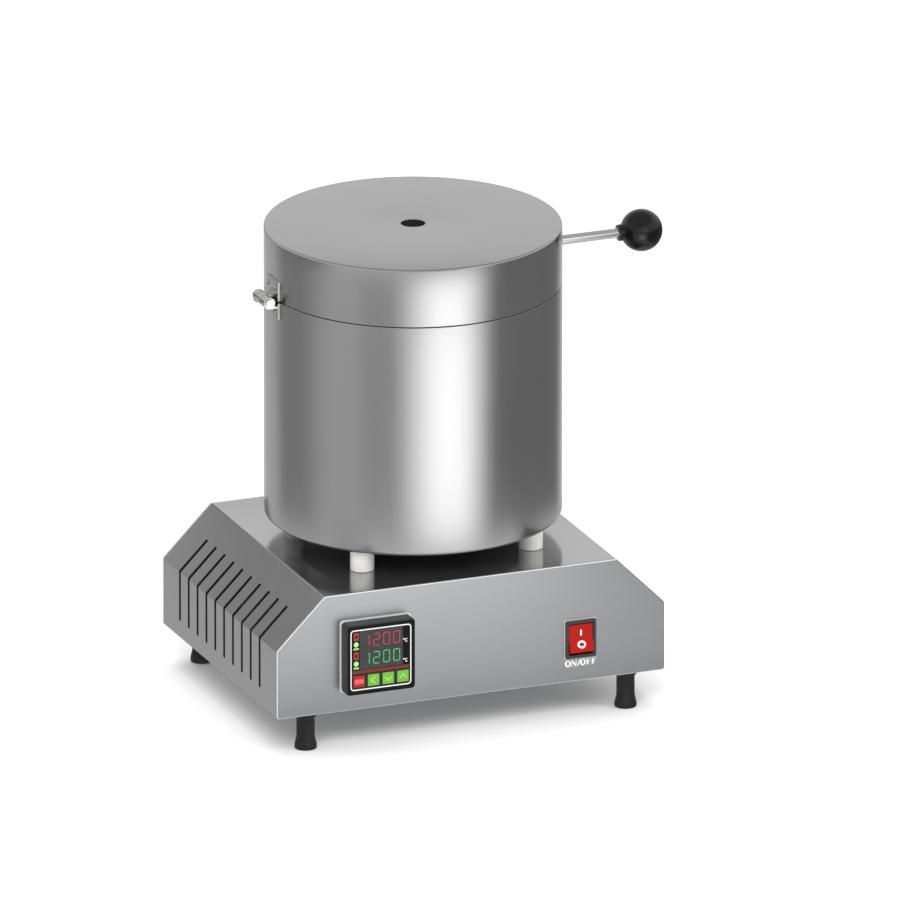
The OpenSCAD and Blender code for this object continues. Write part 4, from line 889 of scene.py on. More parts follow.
@dataclass
class DomedHeads(OnPoints):
    """Round domed rivet heads."""

    def single(self, tree: NodeTree, given: Sockets) -> NodeSocket:
        """Flattens a ball to the height of a head."""
        ball = add_node(tree, "GeometryNodeMeshUVSphere", {"Segments": 28, "Rings": 14, "Radius": 1.0})
        size = add_node(tree, "ShaderNodeCombineXYZ", {
            "X": given["Head Radius"], "Y": given["Head Radius"], "Z": given["Head Height"]})
        return add_node(tree, "GeometryNodeTransform", {
            "Geometry": ball.outputs[0], "Scale": size.outputs[0]}).outputs[0]


@dataclass
class CrossHeads(OnPoints):
    """Pan heads with a raised rim and a cross recess."""

    def single(self, tree: NodeTree, given: Sockets) -> NodeSocket:
        """Cuts two crossed bars out of a low cone."""
        head = add_node(tree, "GeometryNodeMeshCone", {
            "Vertices": 40, "Side Segments": 1, "Fill Segments": 1, "Radius Top": given["Bar Length"],
            "Radius Bottom": given["Head Radius"], "Depth": given["Head Height"]})
        cut = add_node(tree, "GeometryNodeMeshBoolean", {"Mesh 1": head.outputs["Mesh"]},
                       operation="DIFFERENCE", solver="EXACT")
        for spin in (0.0, QUARTER):
            size = add_node(tree, "ShaderNodeCombineXYZ", {
                "X": given["Bar Length"], "Y": given["Bar Width"], "Z": given["Bar Width"]})
            bar = add_node(tree, "GeometryNodeMeshCube", {"Size": size.outputs[0]})
            lift = add_node(tree, "ShaderNodeCombineXYZ", {"Z": given["Head Height"]})
            placed = add_node(tree, "GeometryNodeTransform", {
                "Geometry": bar.outputs["Mesh"], "Translation": lift.outputs[0],
                "Rotation": (0.0, 0.0, spin)})
            tree.links.new(placed.outputs[0], cut.inputs["Mesh 2"])
        return cut.outputs[0]


@dataclass
class GripRibs(OnPoints):
    """Rounded ribs set around a ring."""

    def single(self, tree: NodeTree, given: Sockets) -> NodeSocket:
        """Makes one rib."""
        return add_node(tree, "GeometryNodeMeshCylinder", {
            "Vertices": 12, "Side Segments": 1, "Fill Segments": 1, "Radius": given["Rib Radius"],
            "Depth": given["Rib Length"]}).outputs["Mesh"]


# The furnace


@dataclass
class Housing(Assembly):
    """Folded sheet housing with its panels, tray, feet and standoffs."""

    base_d: float = 204.0
    base_z: float = 25.0
    top_z: float = 105.0
    foot_x: float = 112.0
    foot_y: float = 92.75
    foot_waist: float = 6.0
    standoff_at: float = 59.0
    standoff_r: float = 8.0
    standoff_h: float = 15.0
    bolt_gap_r: float = 2.7
    screw_x: float = 60.0
    screw_y: float = 93.5
    screw_r: float = 3.5
    screw_h: float = 1.8
    shank_r: float = 2.0
    shank_h: float = 3.6
    vent_margin: float = 10.0
    shade_edge_x: float = 100.0

    def on_flank(self, middle: Vector, normal: Vector) -> bool:
        """Tells whether a face of the cover is the outside of a slope or a side."""
        return normal.x * middle.x > 0.5 * abs(middle.x)

    def in_vent(self, middle: Vector, normal: Vector) -> bool:
        """Tells whether a face of the cover is a cut wall of a vent slot."""
        return abs(normal.y) > 0.7 and abs(middle.y) < self.base_d / 2 - self.vent_margin

    def sheet_metal(self) -> None:
        """Rounds the edges of the cover and the panels, and paints shade on the front panel's right-hand
        rounded edge.
        """
        self.softened("base_cover", 0.15, "polished_sheet", segments=1,
                      special=[(SATIN_FLANK, self.on_flank), (LASER_CUT_AND_SHADE_EDGE, self.in_vent)])
        # Painted highlight: the panels' rounded edges take a pale finish for the bright line that light
        # gives them
        panel = self.softened("front_panel", 0.4, "brushed_sheet", angle=50, rim=PAINTED_HIGHLIGHT_EDGE)
        # Painted shade: the front panel's rounded edge at its right-hand end takes the dark cut finish
        panel.data.materials.append(LASER_CUT_AND_SHADE_EDGE.build())
        for face in panel.data.polygons:
            if face.material_index == 1 and face.normal.x > 0.12 and face.center.x > self.shade_edge_x * MM:
                face.material_index = 2
        self.softened("rear_panel", 0.4, "brushed_sheet", angle=50, rim=PAINTED_HIGHLIGHT_EDGE)

    def feet(self) -> None:
        """Turns the rubber feet with a fine moulding line under their collars."""
        flare, steps = 1.25, 10
        waist = [(self.foot_waist + flare * (1 - sin(radians(90 * i / steps))), 3.0 + 0.7 * i)
                 for i in range(steps + 1)]
        profile = [(0.0, 0.0), (6.3, 0.0), (6.95, 0.15), (7.25, 0.5), *waist, (self.foot_waist, 21.9),
                   (6.2, 22.4), (7.2, 22.5), (7.5, 22.8), (7.5, 24.8), (7.3, 25.0), (0.0, 25.0)]
        feet = join([lathe(profile, shift(*spot), 72) for spot in four(self.foot_x, self.foot_y, 0)])
        self.keep("feet_turned", feet, "foot_rubber", RUBBER, stands_for=["feet"])

    def standoffs(self) -> None:
        """Turns the glazed ceramic standoffs."""
        r, h, b = self.standoff_r, self.standoff_h, self.bolt_gap_r
        profile = rounded([(b, 0, 0), (r, 0, 0.7), (r, h, 0.7), (b, h, 0)], 5)
        spots = four(self.standoff_at, self.standoff_at, self.top_z)
        turned = join([lathe(profile, shift(*spot), 72) for spot in spots])
        self.keep("standoffs_turned", turned, "white_ceramic", STEATITE, stands_for=["standoffs"])

    def screws(self) -> None:
        """Puts cross recessed heads on the screws under the tray."""
        spots = four(self.screw_x, self.screw_y, self.base_z)
        heads = CrossHeads("tray_screw_heads", NICKEL, {
            "Head Radius": self.screw_r * MM, "Head Height": self.screw_h * MM,
            "Bar Length": 1.1 * self.screw_r * MM, "Bar Width": 0.26 * self.screw_r * MM}, (pi, 0, 0))
        profile = [(0.0, -0.1), (self.shank_r, -0.1), (self.shank_r, self.shank_h), (0.0, self.shank_h)]
        shanks = [lathe(profile, shift(*spot), 24) for spot in spots]
        self.keep("tray_screws_finished", join([heads.mesh([Vector(spot) for spot in spots]), *shanks]),
                  "fasteners", NICKEL, stands_for=["tray_screws"])

    def build(self) -> None:
        """Builds all pieces of the housing."""
        self.sheet_metal()
        self.feet()
        self.standoffs()
        self.screws()


@dataclass
class Drum(Assembly):
    """Round drum and lid shells with their weld seams."""

    radius: float = 97.25
    sheet: float = 1.2
    drum_z: float = 120.0
    seam_z: float = 277.0
    lid_z: float = 277.6
    lid_top: float = 316.6
    flange_in: float = 72.44
    edge_r: float = 3.0
    lid_edge_r: float = 1.5
    hole_r: float = 8.0

    # Section of a weld: place across it, height over the sheet and way that its edge wanders
    WELD = ((-1.2, -0.05, -1), (-0.5, 0.16, 0), (0.5, 0.16, 0), (1.2, -0.05, 1), (0.0, -0.4, 0))

    def shells(self) -> None:
        """Turns the drum's shell, and the lid's with its flat top and one rounded edge."""
        r, t, low, high = self.radius, self.sheet, self.drum_z, self.seam_z
        drum = [(self.flange_in, low, 0), (r, low, self.edge_r), (r, high, 0.25), (r - t, high, 0.25),
                (r - t, low + t, self.edge_r - t), (self.flange_in, low + t, 0)]
        low, high = self.lid_z, self.lid_top
        lid = [(r - t, low, 0.25), (r, low, 0.25), (r, high, self.lid_edge_r), (self.hole_r, high, 0.35),
               (self.hole_r, high - t, 0), (r - t, high - t, 0.3)]
        for node, section, body in (("drum_shell", drum, Body.BASE), ("lid_shell", lid, Body.LID)):
            mesh = lathe(rounded(section, 8), shift(0, 0, 0), 256)
            self.keep(node + "_turned", mesh, "drum_sheet", BUFFED_DRUM, body, [node])

    def seam(self, name: str, low: float, high: float, body: Body) -> None:
        """Lays a flat ground weld with slightly wavy edges down the back.

        Args:
            name: Name of the piece.
            low: Height of its lower end.
            high: Height of its upper end.
            body: Body that carries it.
        """
        steps, count = 60, len(self.WELD)
        points, faces = [], []
        for i in range(steps + 1):
            wander = 0.05 * sin(i * 2.1)
            for across, out, way in self.WELD:
                x = across + way * wander
                points.append(Vector((x, sqrt(self.radius ** 2 - x * x) + out,
                                      low + (high - low) * i / steps)))
            if i < steps:
                faces += band(i * count, (i + 1) * count, count)
        faces += [list(range(count)), [steps * count + j for j in reversed(range(count))]]
        self.keep(name, solid(points, faces), "drum_sheet", BLASTED_TOP, body)

    def build(self) -> None:
        """Builds both shells and their seams."""
        self.shells()
        self.seam("drum_weld", self.drum_z + 4, self.seam_z - 1, Body.BASE)
        self.seam("lid_weld", self.lid_z + 1, self.lid_top - 2.5, Body.LID)


@dataclass
class Lever(Assembly):
    """Lid lever: bright rod and black ball knob."""

    axis_z: float = 292.0
    start_x: float = 84.25
    shoulder_x: float = 97.35
    rod_r: float = 3.25
    thread_r: float = 3.0
    rod_end: float = 158.0
    knob_x: float = 160.0
    knob_r: float = 14.0
    neck_r: float = 5.5
    neck_x: float = 143.5
    fit: float = 0.05

    def build(self) -> None:
        """Turns the rod and the knob."""
        rod = rounded([(0.0, self.start_x, 0), (self.thread_r, self.start_x, 0.4),
                       (self.thread_r, self.shoulder_x, 0), (self.rod_r, self.shoulder_x, 0.3),
                       (self.rod_r, self.rod_end, 0), (0.0, self.rod_end, 0)], 4)
        meet = asin(self.neck_r / self.knob_r)
        ball = [(self.knob_r * sin(a), self.knob_x - self.knob_r * cos(a))
                for a in [meet + (pi - meet) * i / 40 for i in range(41)]]
        bore = self.rod_r + self.fit
        neck = rounded([(bore, self.rod_end, 0), (bore, self.neck_x, 0.2), (self.neck_r, self.neck_x, 0.5),
                        (*ball[0], 0)], 4)
        knob = [*neck, *ball[1:-1], (0.0, self.knob_x + self.knob_r), (0.0, self.rod_end)]
        for node, profile, steps, slot, finish in (("lever_rod", rod, 64, "hinge_steel", CHROME),
                                                   ("lever_knob", knob, 96, "knob_plastic", PHENOLIC)):
            mesh = lathe(profile, along_x(0, 0, self.axis_z), steps)
            self.keep(node + "_turned", mesh, slot, finish, Body.LID, [node])


@dataclass
class Hinge(Assembly):
    """Hinge leaves, pin and domed rivets."""

    wall_r: float = 97.25
    face_r: float = 99.15
    rivet_pitch: float = 12.0
    drum_rivet_z: float = 269.7
    lid_rivet_z: float = 286.8
    head_r: float = 2.2
    head_h: float = 1.1

    def build(self) -> None:
        """Rounds the leaves and sets the rivet heads."""
        for node, body in (("hinge_drum_leaf", Body.BASE), ("hinge_lid_leaf", Body.LID)):
            self.softened(node, 0.25, "hinge_steel", body, segments=2)
        turn = asin(self.rivet_pitch / 2 / self.wall_r)
        sizes = {"Head Radius": self.head_r * MM, "Head Height": self.head_h * MM}
        for name, z, body in (("drum_rivet_heads", self.drum_rivet_z, Body.BASE),
                              ("lid_rivet_heads", self.lid_rivet_z, Body.LID)):
            heads = DomedHeads(name, NICKEL, sizes, (0.0, -QUARTER, 0.0)).mesh(
                [Vector((-self.face_r * cos(turn), side * self.face_r * sin(turn), z))
                 for side in (-1, 1)])
            self.keep(name, heads, "fasteners", NICKEL, body)


@dataclass
class Controller(Assembly):
    """Panel controller: bezel, smoked window, lit digits, lamps, marks and keys."""

    x: float = -67.0
    z: float = 62.4
    panel_y: float = -102.0
    face_out: float = 10.0
    bezel_out: float = 10.8
    outline_w: float = 42.4
    outline_h: float = 41.4
    outline_wide: float = 1.3
    film: float = 46.6
    film_opening: float = 43.1
    mask_h: float = 26.2
    mask_z: float = 6.4
    marks_x: float = -17.2
    digit_w: float = 4.1
    digit_h: float = 7.9
    digit_pitch: float = 7.05
    digits_x: float = 0.5
    digit_stroke: float = 0.62
    red_z: float = 12.8
    green_z: float = 0.5
    key_pitch: float = 10.2
    key_down: float = 14.7
    key_out: float = 10.5

    SEGMENTS = {"0": "abcdef", "1": "bc", "2": "abged"}
    # Chevron of an arrow key, pointing up
    CHEVRON = ((-2.4, -1.8), (0.0, 0.8), (2.4, -1.8), (2.4, -0.3), (0.0, 2.3), (-2.4, -0.3))
    # Each key's node, body, slot and turn of its chevron in degrees, from left to right
    KEYS = (("set_key", Body.SET_KEY, "key_red", None), ("shift_key", Body.SHIFT_KEY, "key_green", 90.0),
            ("down_key", Body.DOWN_KEY, "key_green", 180.0), ("up_key", Body.UP_KEY, "key_green", 0.0))

    def spot(self, out: float, dx: float = 0.0, dz: float = 0.0) -> Place:
        """Returns a place on the controller's front, this far out of the panel."""
        return on_front(self.x + dx, self.panel_y - out, self.z + dz)

    def number(self, name: str, text: str, dz: float, finish: Finish) -> None:
        """Makes a row of seven segment digits.

        Args:
            name: Name of the piece.
            text: The digits.
            dz: Height of the row above the middle.
            finish: Finish of the lit segments.
        """
        w, h = self.digit_w / 2, self.digit_h / 2
        ends = {"a": ((-w, h), (w, h)), "b": ((w, h), (w, 0)), "c": ((w, 0), (w, -h)),
                "d": ((-w, -h), (w, -h)), "e": ((-w, 0), (-w, -h)), "f": ((-w, h), (-w, 0)),
                "g": ((-w, 0), (w, 0))}
        bars = []
        for i, digit in enumerate(text):
            dx = self.digits_x + (i - (len(text) - 1) / 2) * self.digit_pitch
            place = self.spot(self.face_out, dx, dz)
            bars += [stroke(*ends[segment], self.digit_stroke, PRINT_HIGH, place, True)
                     for segment in self.SEGMENTS[digit]]
        self.keep(name, join(bars), "display_red", finish, smooth=FLAT_SMOOTH)

    def mark(self, name: str, outline: Outline, dx: float, dz: float, slot: str, finish: Finish,
             hole: Outline | None = None) -> None:
        """Prints a mark on the face, this far right of the middle and above it."""
        self.printed(name, outline, self.spot(self.face_out, dx, dz), slot, finish, hole)

    def marks(self) -> None:
        """Prints the outline, the masks, the marks beside the digits, the strip and the bezel's film."""
        w, h, less = self.outline_w, self.outline_h, self.outline_wide
        self.printed("face_outline", round_rect(w, h, 2.4), self.spot(self.face_out), "gasket_rubber",
                     INK_WHITE, round_rect(w - less, h - less, 1.75), low=-0.1, high=0.25)
        for i, (dx, wide) in enumerate(((-17.3, 5.0), (17.6, 4.4))):
            self.printed(f"lens_mask_{i}", round_rect(wide, self.mask_h, 0.3),
                         self.spot(self.face_out - 0.03, dx, self.mask_z), "window_plastic", INK_BLACK)
        for i, dz in enumerate((16.0, 2.9)):
            self.mark(f"state_mark_{i}", round_rect(3.7, 5.8, 0.8), self.marks_x, dz, "display_red", INK_RED,
                      round_rect(1.5, 1.5, 0.5))
        for i, dz in enumerate((10.7, -2.5)):
            self.mark(f"state_lamp_{i}", ellipse(3.3, 3.3), self.marks_x, dz, "key_green", LAMP_GREEN)
            self.mark(f"state_line_{i}", round_rect(3.8, 1.3, 0.4), self.marks_x, dz - 3.0, "key_green",
                      INK_LIME)
        arcs = [[(wide * cos(radians(a)), high * sin(radians(a))) for a in turns]
                for wide, high, turns in ((1.0, 1.25, range(50, 311, 20)), (0.6, 0.85, range(310, 49, -20)))]
        for i, dz in enumerate((9.7, -4.0)):
            self.mark(f"degree_ring_{i}", ellipse(1.1, 1.1, 24), 16.1, dz + 0.9, "gasket_rubber", INK_WHITE,
                      ellipse(0.5, 0.5, 24))
            self.mark(f"degree_letter_{i}", arcs[0] + arcs[1], 18.0, dz, "gasket_rubber", INK_WHITE)
        self.mark("face_strip", [(-19.5, -9.3), (19.5, -9.3), (19.5, -7.1), (-19.5, -7.1)], 0, 0,
                  "display_red", INK_MAROON)
        self.printed("front_film", round_rect(self.film, self.film, 1.9), self.spot(self.bezel_out),
                     "black_plastic", INK_BLACK, round_rect(self.film_opening, self.film_opening, 0.8))

    def keys(self) -> None:
        """Rounds the keys and prints a bar on the first and a chevron on each of the others."""
        for i, (node, body, slot, turn) in enumerate(self.KEYS):
            self.softened(node, 0.25, slot, body, segments=2)
            a = radians(turn or 0.0)
            chevron = [(x * cos(a) - y * sin(a), x * sin(a) + y * cos(a))
                       for x, y in self.CHEVRON]
            place = self.spot(self.key_out, (i - 1.5) * self.key_pitch, -self.key_down)
            if turn is None:
                self.printed("set_sign", round_rect(6.4, 3.2, 0.4), place, slot, INK_PINK, body=body)
            else:
                self.printed(node + "_sign", chevron, place, slot, INK_LIME, body=body)

    def build(self) -> None:
        """Builds all pieces of the controller's front."""
        self.softened("controller_bezel", 0.35, "grey_plastic")
        self.softened("display_window", 0.15, "window_plastic", segments=2)
        self.softened("controller_housing", 0.4, "black_plastic")
        self.marks()
        self.number("red_digits", "1200", self.red_z, LED_RED)
        self.number("green_digits", "1200", self.green_z, LED_GREEN)
        self.keys()


@dataclass
class PowerSwitch(Assembly):
    """Rocker switch with its frame, signs and the words printed under it."""

    x: float = 76.3
    z: float = 54.1
    panel_y: float = -102.0
    pivot_y: float = -100.2
    tilt: float = 10.0
    rocker_r: float = 10.4
    edge_turn: float = 60.0
    words_z: float = 37.4
    cap_h: float = 4.6

    # Strokes of each letter as start, end and width, from the middle of a capital 4.6 mm high
    LETTERS = {
        "N": ((-1.5, -2.3, -1.5, 2.3, 0.45), (1.5, -2.3, 1.5, 2.3, 0.45), (-1.5, 2.2, 1.5, -2.2, 1.0),
              (-2.3, -2.1, -0.9, -2.1, 0.35), (-2.5, 2.1, -1.1, 2.1, 0.35), (0.9, 2.1, 2.3, 2.1, 0.35)),
        "/": ((-1.7, -2.3, 0.1, 2.3, 0.55),),
        "F": ((-0.7, -2.3, -0.7, 2.3, 1.1), (-1.7, -2.1, 0.3, -2.1, 0.4), (-1.7, 2.1, 1.6, 2.1, 0.4),
              (1.4, 1.2, 1.4, 2.3, 0.4), (-0.7, 0.1, 0.9, 0.1, 0.4), (0.8, -0.5, 0.8, 0.7, 0.35)),
    }
    WORDS = (("O", -8.5), ("N", -4.2), ("/", 0.0), ("O", 2.0), ("F", 6.0), ("F", 9.6))

    def on_rocker(self, up: float, side: int) -> Place:
        """Returns a place on one of the rocker's faces: local X runs right, Y up along it and Z out of it.

        Args:
            up: Distance of the sign from the rocker's middle line.
            side: 1 for the upper face, -1 for the lower one.

        Returns:
            The place, on the rocker as it is tipped at rest.
        """
        lean, edge = radians(self.tilt), radians(self.edge_turn)
        valley = self.rocker_r * (cos(edge) - sin(edge) * tan(lean))

        def place(p: Vector) -> Vector:
            """Takes a point on the face to its place on the tipped rocker."""
            run = up + p.y
            y = -(valley + abs(run) * tan(lean)) - p.z * cos(lean)
            z = run + side * p.z * sin(lean)
            turned = Matrix.Rotation(-lean, 3, "X") @ Vector((p.x, y, z))
            return Vector((self.x + turned.x, self.pivot_y + turned.y, self.z + turned.z))
        return place

    def words(self) -> None:
        """Prints ON/OFF under the switch in plain serif capitals."""
        parts = []
        for letter, across in self.WORDS:
            place = on_front(self.x + across, self.panel_y, self.words_z)
            if letter == "O":
                parts.append(slab(ellipse(3.9, self.cap_h), PRINT_LOW, SIGN_HIGH, place,
                                  ellipse(1.7, self.cap_h - 1.0)))
            for ax, ay, bx, by, wide in self.LETTERS.get(letter, ()):
                parts.append(stroke((ax, ay), (bx, by), wide, SIGN_HIGH, place))
        self.keep("switch_words", join(parts), "gasket_rubber", INK_WHITE, smooth=FLAT_SMOOTH)

    def build(self) -> None:
        """Builds the frame, the rocker and the signs."""
        self.softened("switch_housing", 0.15, "grey_plastic", segments=2)
        self.softened("switch_rocker", 0.35, "rocker_red", Body.ROCKER, angle=18)
        line = stroke((0, -1.9), (0, 1.9), 1.1, SIGN_HIGH, self.on_rocker(3.6, 1))
        self.keep("rocker_line_sign", line, "gasket_rubber", INK_WHITE, Body.ROCKER, smooth=FLAT_SMOOTH)
        self.printed("rocker_ring_sign", ellipse(5.8, 5.0), self.on_rocker(-4.2, -1), "gasket_rubber",
                     INK_WHITE, ellipse(3.6, 2.6), Body.ROCKER, high=SIGN_HIGH)
        self.printed("switch_seal", round_rect(22.2, 26.6, 1.0), on_front(self.x, self.panel_y, self.z),
                     "gasket_rubber", SILICONE, round_rect(20.4, 24.8, 0.6), high=0.35)
        self.words()


@dataclass
class Inside(Assembly):
    """Heating parts, wiring and other fittings within the furnace and on its back."""

    coil_turns: float = 14.0
    coil_r: float = 52.0
    coil_low: float = 157.2
    coil_h: float = 98.0
    coil_stub: float = 3.5
    wire_r: float = 1.75
    gland_x: float = -95.0
    gland_z: float = 55.0
    rib_y: float = 112.0
    rib_ring: float = 11.35
    rib_count: int = 24
    rib_r: float = 0.5
    rib_l: float = 8.0

    # Width of the rounding in millimetres, slot and node
    ROUNDED = ((0.4, "black_plastic", "gland_body"), (0.3, "black_plastic", "gland_cap"),
               (0.4, "black_plastic", "gland_locknut"), (0.8, "cream_plastic", "solid_state_relay"),
               (0.4, "cream_plastic", "terminal_block"), (0.25, "sink_aluminium", "relay_heatsink"),
               (0.8, "graphite", "crucible"), (0.8, "chamber_ceramic", "crucible_stand"),
               (0.6, "chamber_ceramic", "chamber_collar"))

    def winding(self) -> None:
        """Winds the heating coil and adds its two ends."""
        wire = WoundWire("heating_winding", FIRED_WIRE, {
            "Turns": self.coil_turns, "Winding Radius": self.coil_r * MM, "Lower End": self.coil_low * MM,
            "Height": self.coil_h * MM, "Wire Radius": self.wire_r * MM}).mesh([Vector()])
        ends = []
        for side, z in ((1, self.coil_low), (-1, self.coil_low + self.coil_h)):
            reach = side * self.coil_stub
            stub = [(0.0, 0.0), (self.wire_r, 0.0), (self.wire_r, reach), (0.0, reach)]
            ends.append(lathe(stub, along_x(0, self.coil_r, z), 12))
        self.keep("heating_winding", join([wire, *ends]), "coil_alloy", FIRED_WIRE,
                  stands_for=["heating_coil"])

    def gland_ribs(self) -> None:
        """Sets the grip ribs around the gland's nut, but for one place in four."""
        ring = ellipse(2 * self.rib_ring, 2 * self.rib_ring, self.rib_count)
        spots = [Vector((self.gland_x + x, self.rib_y, self.gland_z + z))
                 for i, (x, z) in enumerate(ring) if i % 4]
        sizes = {"Rib Radius": self.rib_r * MM, "Rib Length": self.rib_l * MM}
        ribs = GripRibs("gland_ribs", NYLON, sizes, (QUARTER, 0.0, 0.0)).mesh(spots)
        self.keep("gland_ribs", ribs, "black_plastic", NYLON)

    def build(self) -> None:
        """Builds the winding, the gland's ribs and the softened fittings."""
        self.winding()
        self.gland_ribs()
        for width, slot, node in self.ROUNDED:
            self.softened(node, width, slot)


# Studio

# The ramps of a glow hold half of each brightness, so its strength is twice as high
RAMP_SHARE, RAMP_GAIN = 0.5, 2.0


@dataclass
class Glow:
    """A material that gives off light by its place, for cards that only reflections see.

    Attributes:
        name: Name of the material.
        azimuth: Azimuth of the camera in degrees, from which the strips are counted.
    """

    name: str
    azimuth: float

    def __post_init__(self) -> None:
        """Starts the material and splits the place into X, Y and Z."""
        self.material = new_material(self.name)
        self.tree = self.material.node_tree
        place = add_node(self.tree, "ShaderNodeTexCoord")
        self.parts = add_node(self.tree, "ShaderNodeSeparateXYZ", {0: place.outputs["Object"]}).outputs

    def ramp(self, value: NodeSocket, stops: Outline) -> NodeSocket:
        """Adds a soft ramp.

        Args:
            value: What the ramp follows.
            stops: Place and brightness of each stop.

        Returns:
            The colour, at half the brightness.
        """
        node = add_node(self.tree, "ShaderNodeValToRGB", {"Fac": value})
        node.color_ramp.interpolation = "EASE"
        made = node.color_ramp.elements
        made.remove(made[-1])
        for i, (place, level) in enumerate(stops):
            stop = made[0] if i == 0 else made.new(place)
            stop.position = place
            stop.color = (*[level * RAMP_SHARE] * 3, 1.0)
        return node.outputs["Color"]

    def striped(self, strips: Sequence[Triple]) -> NodeSocket:
        """Adds upright strips around the furnace.

        Args:
            strips: Left edge, right edge and brightness of each, from left to right.

        Returns:
            The colour, at half the brightness.
        """
        angle = add_node(self.tree, "ShaderNodeMath", {0: self.parts["Y"], 1: self.parts["X"]},
                         operation="ARCTAN2")
        share = add_node(self.tree, "ShaderNodeMath", {
            0: angle.outputs[0], 1: 1 / TURN, 2: 0.5 + (90 - self.azimuth) / 360}, operation="MULTIPLY_ADD")
        around = add_node(self.tree, "ShaderNodeMath", {0: share.outputs[0]}, operation="FRACT")
        return self.ramp(around.outputs[0], [(0.5 + edge / 360, level) for start, stop, level in strips
                                             for edge in (start, stop)])

    def blend(self, value: NodeSocket, limits: Point, before: NodeSocket, after: NodeSocket) -> NodeSocket:
        """Adds a change from one colour to another while a value goes from limit to limit."""
        share = add_node(self.tree, "ShaderNodeMapRange", {
            "Value": value, "From Min": limits[0], "From Max": limits[1]})
        return add_node(self.tree, "ShaderNodeMix", {0: share.outputs["Result"], 6: before, 7: after},
                        data_type="RGBA").outputs[2]

    def close(self, inputs: dict) -> Material:
        """Ends the material in light with the given inputs and returns it."""
        light = add_node(self.tree, "ShaderNodeEmission", inputs)
        add_node(self.tree, "ShaderNodeOutputMaterial", {"Surface": light.outputs[0]})
        return self.material


